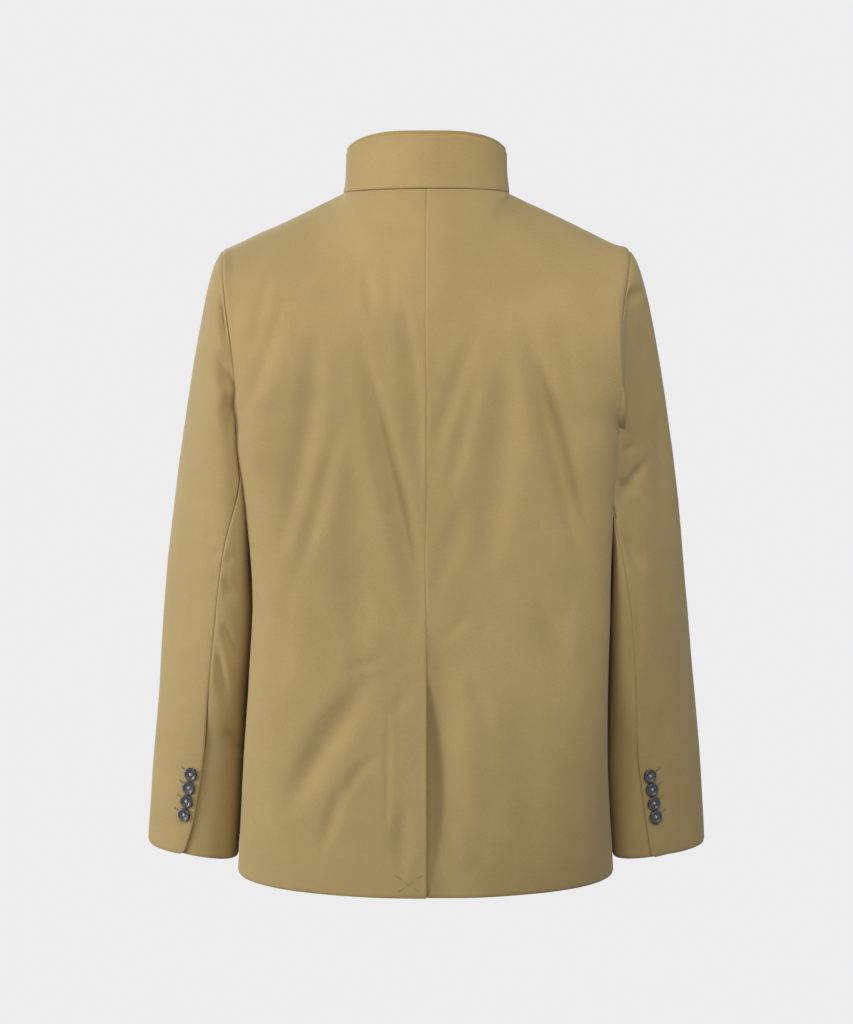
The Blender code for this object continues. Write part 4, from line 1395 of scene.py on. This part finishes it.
def sew_on(pattern, name, sheet_name, seat, out, across, trim, node):
    """Copies a button to its seat on the cloth, with a crossed thread through its holes."""
    place_on, normal = on_cloth(bpy.data.objects[sheet_name], seat, out)
    out = normal / np.linalg.norm(normal)
    across = across - out * (across @ out)
    across /= np.linalg.norm(across)
    up = np.cross(out, across)
    centre = place_on + out * BUTTON_LIFT
    rows = [[across[r], up[r], out[r], centre[r]] for r in range(3)]
    basis = Matrix(rows + [[0, 0, 0, 1]])
    button = bpy.data.objects.new(name, pattern.data.copy())
    button.data.transform(basis)
    bpy.context.scene.collection.objects.link(button)
    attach(button, "root")
    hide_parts(node)
    reach = 2 * BUTTON_HOLE_SPREAD
    strands = []
    for turn in (math.radians(45), math.radians(135)):
        along = across * math.cos(turn) + up * math.sin(turn)
        aside = np.cross(out, along)
        for k in (-0.5, 0.5):
            centre = place_on + out * (BUTTON_LIFT + 0.62 * trim.thick + 0.0001) + aside * THREAD * 1.3 * k
            strands.append((centre, along, out))
    material = the_material("pale_button_thread", spun_thread, trim.button_thread)
    thread = sewn(name + "_thread", one_stitch(reach * 1.12, THREAD, 0.0007), strands, material)
    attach(thread, "root")
    return button


class BLAZER_OT_cuff_buttons(bpy.types.Operator):
    """Adds four four-hole buttons beside each cuff vent, sewn on with pale thread"""

    bl_idname = "blazer.cuff_buttons"
    bl_label = "Cuff buttons"

    def execute(self, context):
        trim = context.scene.blazer_trim
        material = the_material("navy_horn_resin", horn_resin, trim.button_colour)
        pattern = turned_button("cuff_pattern", trim.cuff_button, trim.thick, material)
        for side in (LEFT, RIGHT):
            sheet_name = "upper_sleeve_" + side_name(side) + "_panel"
            for k in range(4):
                seat, around, out = cuff_seat(side, CUFF_BUTTON_FIRST_Z - k * CUFF_BUTTON_PITCH)
                node = "cuff_button_" + side_name(side) + "_" + str(k + 1)
                tilt = math.radians(20 * k)
                across = around * math.cos(tilt) + np.cross(out, around) * math.sin(tilt)
                sew_on(pattern, node + "_sewn", sheet_name, seat, out, across, trim, node)
        bpy.data.objects.remove(pattern)
        return {"FINISHED"}


class BLAZER_OT_front_buttons(bpy.types.Operator):
    """Adds the four-hole buttons of the front"""

    bl_idname = "blazer.front_buttons"
    bl_label = "Front buttons"

    def execute(self, context):
        trim = context.scene.blazer_trim
        material = the_material("navy_horn_resin", horn_resin, trim.button_colour)
        pattern = turned_button("front_pattern", trim.front_button, trim.thick, material)
        for k in range(FRONT_BUTTONS):
            seat, out = front_seat(FRONT_BUTTON_TOP_Z - k * FRONT_BUTTON_PITCH)
            node = "front_button_" + str(k + 1)
            across = np.array([1.0, 0.0, 0.0])
            name = node + "_sewn"
            sew_on(pattern, name, "front_left_panel", seat, out, across, trim, node)
        bpy.data.objects.remove(pattern)
        return {"FINISHED"}


BUTTONHOLE_PITCH = 0.00042
BUTTONHOLE_HALF = 0.0007
CUFF_HOLE_SLANT = 0.42

# The two strokes of the vent's tack, each as start and end in x and z, with one long stitch after another
TACK_STROKES = (
    ((0.0335, -0.7005), (0.0035, -0.7205)),
    ((0.0035, -0.7005), (0.0325, -0.7205)),
)
TACK_Y = 0.13
TACK_STITCH = 0.0095
TACK_PITCH = 0.0112


def buttonhole(piece, seat, along, out, start, end):
    """Places for the stitches round a buttonhole, from start to end of its slit, with a round far end."""
    aside = np.cross(out, along)
    spots = []
    for k in range(int((end - start) / BUTTONHOLE_PITCH)):
        for edge in (-1, 1):
            spots.append((start + k * BUTTONHOLE_PITCH, edge * BUTTONHOLE_HALF, 90 * edge))
    for k in range(9):
        turn = math.radians(-90 + 22.5 * k)
        eye = BUTTONHOLE_HALF * 1.25
        spots.append((end + eye * math.cos(turn), eye * math.sin(turn), math.degrees(turn)))
    places = []
    for forward, sideways, turn in spots:
        point = seat + along * forward + aside * sideways
        at, normal = on_cloth(piece, point, out)
        way = along * math.cos(math.radians(turn)) + aside * math.sin(math.radians(turn))
        places.append((at, way, normal))
    return places


class BLAZER_OT_buttonholes(bpy.types.Operator):
    """Adds the stitched buttonholes behind the buttons"""

    bl_idname = "blazer.buttonholes"
    bl_label = "Buttonholes"

    def execute(self, context):
        trim = context.scene.blazer_trim
        material = the_material("khaki_seam_thread", spun_thread, trim.seam_thread)
        stitch = one_stitch(0.0014, 0.00024, 0.0003)
        for side in (LEFT, RIGHT):
            sheet = bpy.data.objects["upper_sleeve_" + side_name(side) + "_panel"]
            places = []
            for k in range(4):
                seat, around, out = cuff_seat(side, CUFF_BUTTON_FIRST_Z - k * CUFF_BUTTON_PITCH)
                lift = np.cross(out, around)
                lift *= math.copysign(1, lift[2])
                along = around * math.cos(CUFF_HOLE_SLANT) + lift * math.sin(CUFF_HOLE_SLANT)
                places += buttonhole(sheet, seat, along, out, 0.002, 0.0135)
            piece = sewn("cuff_buttonholes_" + side_name(side), stitch, places, material)
            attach(piece, "root")
        sheet = bpy.data.objects["front_left_panel"]
        places = []
        for k in range(FRONT_BUTTONS):
            seat, out = front_seat(FRONT_BUTTON_TOP_Z - k * FRONT_BUTTON_PITCH)
            places += buttonhole(sheet, seat, np.array([1.0, 0, 0]), out, -0.003, 0.014)
        piece = sewn("front_buttonholes", stitch, places, material)
        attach(piece, "root")
        return {"FINISHED"}


class BLAZER_OT_stitching(bpy.types.Operator):
    """Adds the stitch lines across the cuff vents, and the crossed tack near the foot of the back vent"""

    bl_idname = "blazer.stitching"
    bl_label = "Stitching"

    def execute(self, context):
        trim = context.scene.blazer_trim
        material = the_material("khaki_seam_thread", spun_thread, trim.seam_thread)
        stitch = one_stitch(0.0024, 0.00022, 0.0002)
        for side in (LEFT, RIGHT):
            sheet = bpy.data.objects["upper_sleeve_" + side_name(side) + "_panel"]
            path = []
            for share in np.linspace(0, 1, 12):
                z = np.array(CUFF_VENT_Z - 0.003)
                turn = seam_turn(side, z, "_edge") - share * 0.36
                out = sleeve_ring(side, turn, z, -0.01) - sleeve_ring(side, turn, z)
                path.append((sleeve_ring(side, turn, z), out))
            places = running_stitch(sheet, path, 0.0022, 0.0028)
            piece = sewn("cuff_vent_stitches_" + side_name(side), stitch, places, material)
            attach(piece, "root")
        sheet = bpy.data.objects["back_left_panel"]
        places = []
        long_stitch = one_stitch(TACK_STITCH, 0.0004, 0.0003)
        out = np.array([0.0, 1.0, 0.0])
        for stroke in TACK_STROKES:
            path = [(np.array([x, TACK_Y, z]), out) for x, z in stroke]
            places += running_stitch(sheet, path, TACK_STITCH, TACK_PITCH)
        piece = sewn("vent_tack", long_stitch, places, material)
        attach(piece, "root")
        return {"FINISHED"}


# ---- operator: stage ----

CAMERA_PLACE = (0.0, 2.8, -0.208)
CAMERA_PITCH = 0.0461
CAMERA_ANGLE = 2 * math.atan(512 / 2641)
FLOOR_Z = -1.5
ROOM_HALF = 6.0
ROOM_HIGH = 8.0
BACKDROP_BEND = 1.5


def area_light(name, spot, aim, size, power):
    light = bpy.data.lights.new(name, "AREA")
    light.shape = "SQUARE"
    light.size = size
    light.energy = power
    lamp = bpy.data.objects.new(name, light)
    lamp.location = spot
    lamp.rotation_euler = (Vector(aim) - Vector(spot)).to_track_quat("-Z", "Y").to_euler()
    lamp.visible_camera = False
    bpy.context.scene.collection.objects.link(lamp)


class BLAZER_OT_stage(bpy.types.Operator):
    """Adds the pale floor with its curved backdrop, the studio lights and the camera"""

    bl_idname = "blazer.stage"
    bl_label = "Studio"

    def execute(self, context):
        studio = context.scene.blazer_studio
        paper = the_material("seamless_paper", backdrop_paper, studio.backdrop)
        deselect_all()
        bpy.ops.mesh.primitive_cylinder_add(
            vertices=96, radius=ROOM_HALF, depth=ROOM_HIGH, location=(0, 0, FLOOR_Z + ROOM_HIGH / 2)
        )
        room = context.object
        room.name = "studio_floor"
        bpy.ops.object.transform_apply(location=True, rotation=False, scale=False)
        soften(room, BACKDROP_BEND, 10, 60)
        bpy.ops.object.mode_set(mode="EDIT")
        bpy.ops.mesh.select_all(action="SELECT")
        bpy.ops.mesh.flip_normals()
        bpy.ops.object.mode_set(mode="OBJECT")
        bpy.ops.object.shade_smooth()
        room.data.materials.append(paper)
        room.visible_diffuse = False
        room.visible_shadow = False
        world = bpy.data.worlds.new("studio_room")
        world.use_nodes = True
        light = world.node_tree.nodes["Background"]
        light.inputs["Color"].default_value = linear(studio.backdrop)
        light.inputs["Strength"].default_value = studio.room
        context.scene.world = world
        middle = (0.0, 0.05, -0.35)
        area_light("key", (2.56, 0.50, -0.35), middle, 1.0, studio.key)
        area_light("top", (-0.44, 1.27, 0.40), middle, 1.0, studio.top)
        area_light("fill", (0.55, 2.11, 1.14), middle, 1.0, studio.fill)
        area_light("front", (0.8, -2.4, 1.2), middle, 1.6, studio.front)
        camera = bpy.data.cameras.new("camera")
        camera.sensor_fit = "VERTICAL"
        camera.angle = CAMERA_ANGLE
        eye = bpy.data.objects.new("camera", camera)
        eye.location = CAMERA_PLACE
        eye.rotation_euler = (math.pi / 2 - CAMERA_PITCH, 0, math.pi)
        context.scene.collection.objects.link(eye)
        context.scene.camera = eye
        context.scene.view_settings.view_transform = "Standard"
        return {"FINISHED"}


# ---- panel and registration ----

OPERATORS = (
    BLAZER_OT_back,
    BLAZER_OT_front,
    BLAZER_OT_sleeves,
    BLAZER_OT_collar,
    BLAZER_OT_cuff_buttons,
    BLAZER_OT_front_buttons,
    BLAZER_OT_buttonholes,
    BLAZER_OT_stitching,
    BLAZER_OT_stage,
)


class BLAZER_PT_panel(bpy.types.Panel):
    """Lists the blazer's pieces and their settings"""

    bl_label = "Stand-Collar Blazer"
    bl_idname = "BLAZER_PT_panel"
    bl_space_type = "VIEW_3D"
    bl_region_type = "UI"
    bl_category = "Blazer"

    def draw(self, context):
        for group in ("blazer_cloth", "blazer_trim", "blazer_studio"):
            box = self.layout.box()
            settings = getattr(context.scene, group)
            for name in settings.bl_rna.properties.keys():
                if name not in ("rna_type", "name"):
                    box.prop(settings, name)
        for operator in OPERATORS:
            self.layout.operator(operator.bl_idname)


GROUPS = {"blazer_cloth": BlazerCloth, "blazer_trim": BlazerTrim, "blazer_studio": BlazerStudio}


def register():
    for group in GROUPS.values():
        bpy.utils.register_class(group)
    for name, group in GROUPS.items():
        setattr(bpy.types.Scene, name, bpy.props.PointerProperty(type=group))
    for operator in OPERATORS:
        bpy.utils.register_class(operator)
    bpy.utils.register_class(BLAZER_PT_panel)


def unregister():
    bpy.utils.unregister_class(BLAZER_PT_panel)
    for operator in OPERATORS:
        bpy.utils.unregister_class(operator)
    for name, group in GROUPS.items():
        delattr(bpy.types.Scene, name)
        bpy.utils.unregister_class(group)


def main():
    register()
    bpy.ops.blazer.back()
    bpy.ops.blazer.front()
    bpy.ops.blazer.sleeves()
    bpy.ops.blazer.collar()
    bpy.ops.blazer.cuff_buttons()
    bpy.ops.blazer.front_buttons()
    bpy.ops.blazer.buttonholes()
    bpy.ops.blazer.stitching()
    bpy.ops.blazer.stage()


if __name__ == "__main__":
    main()
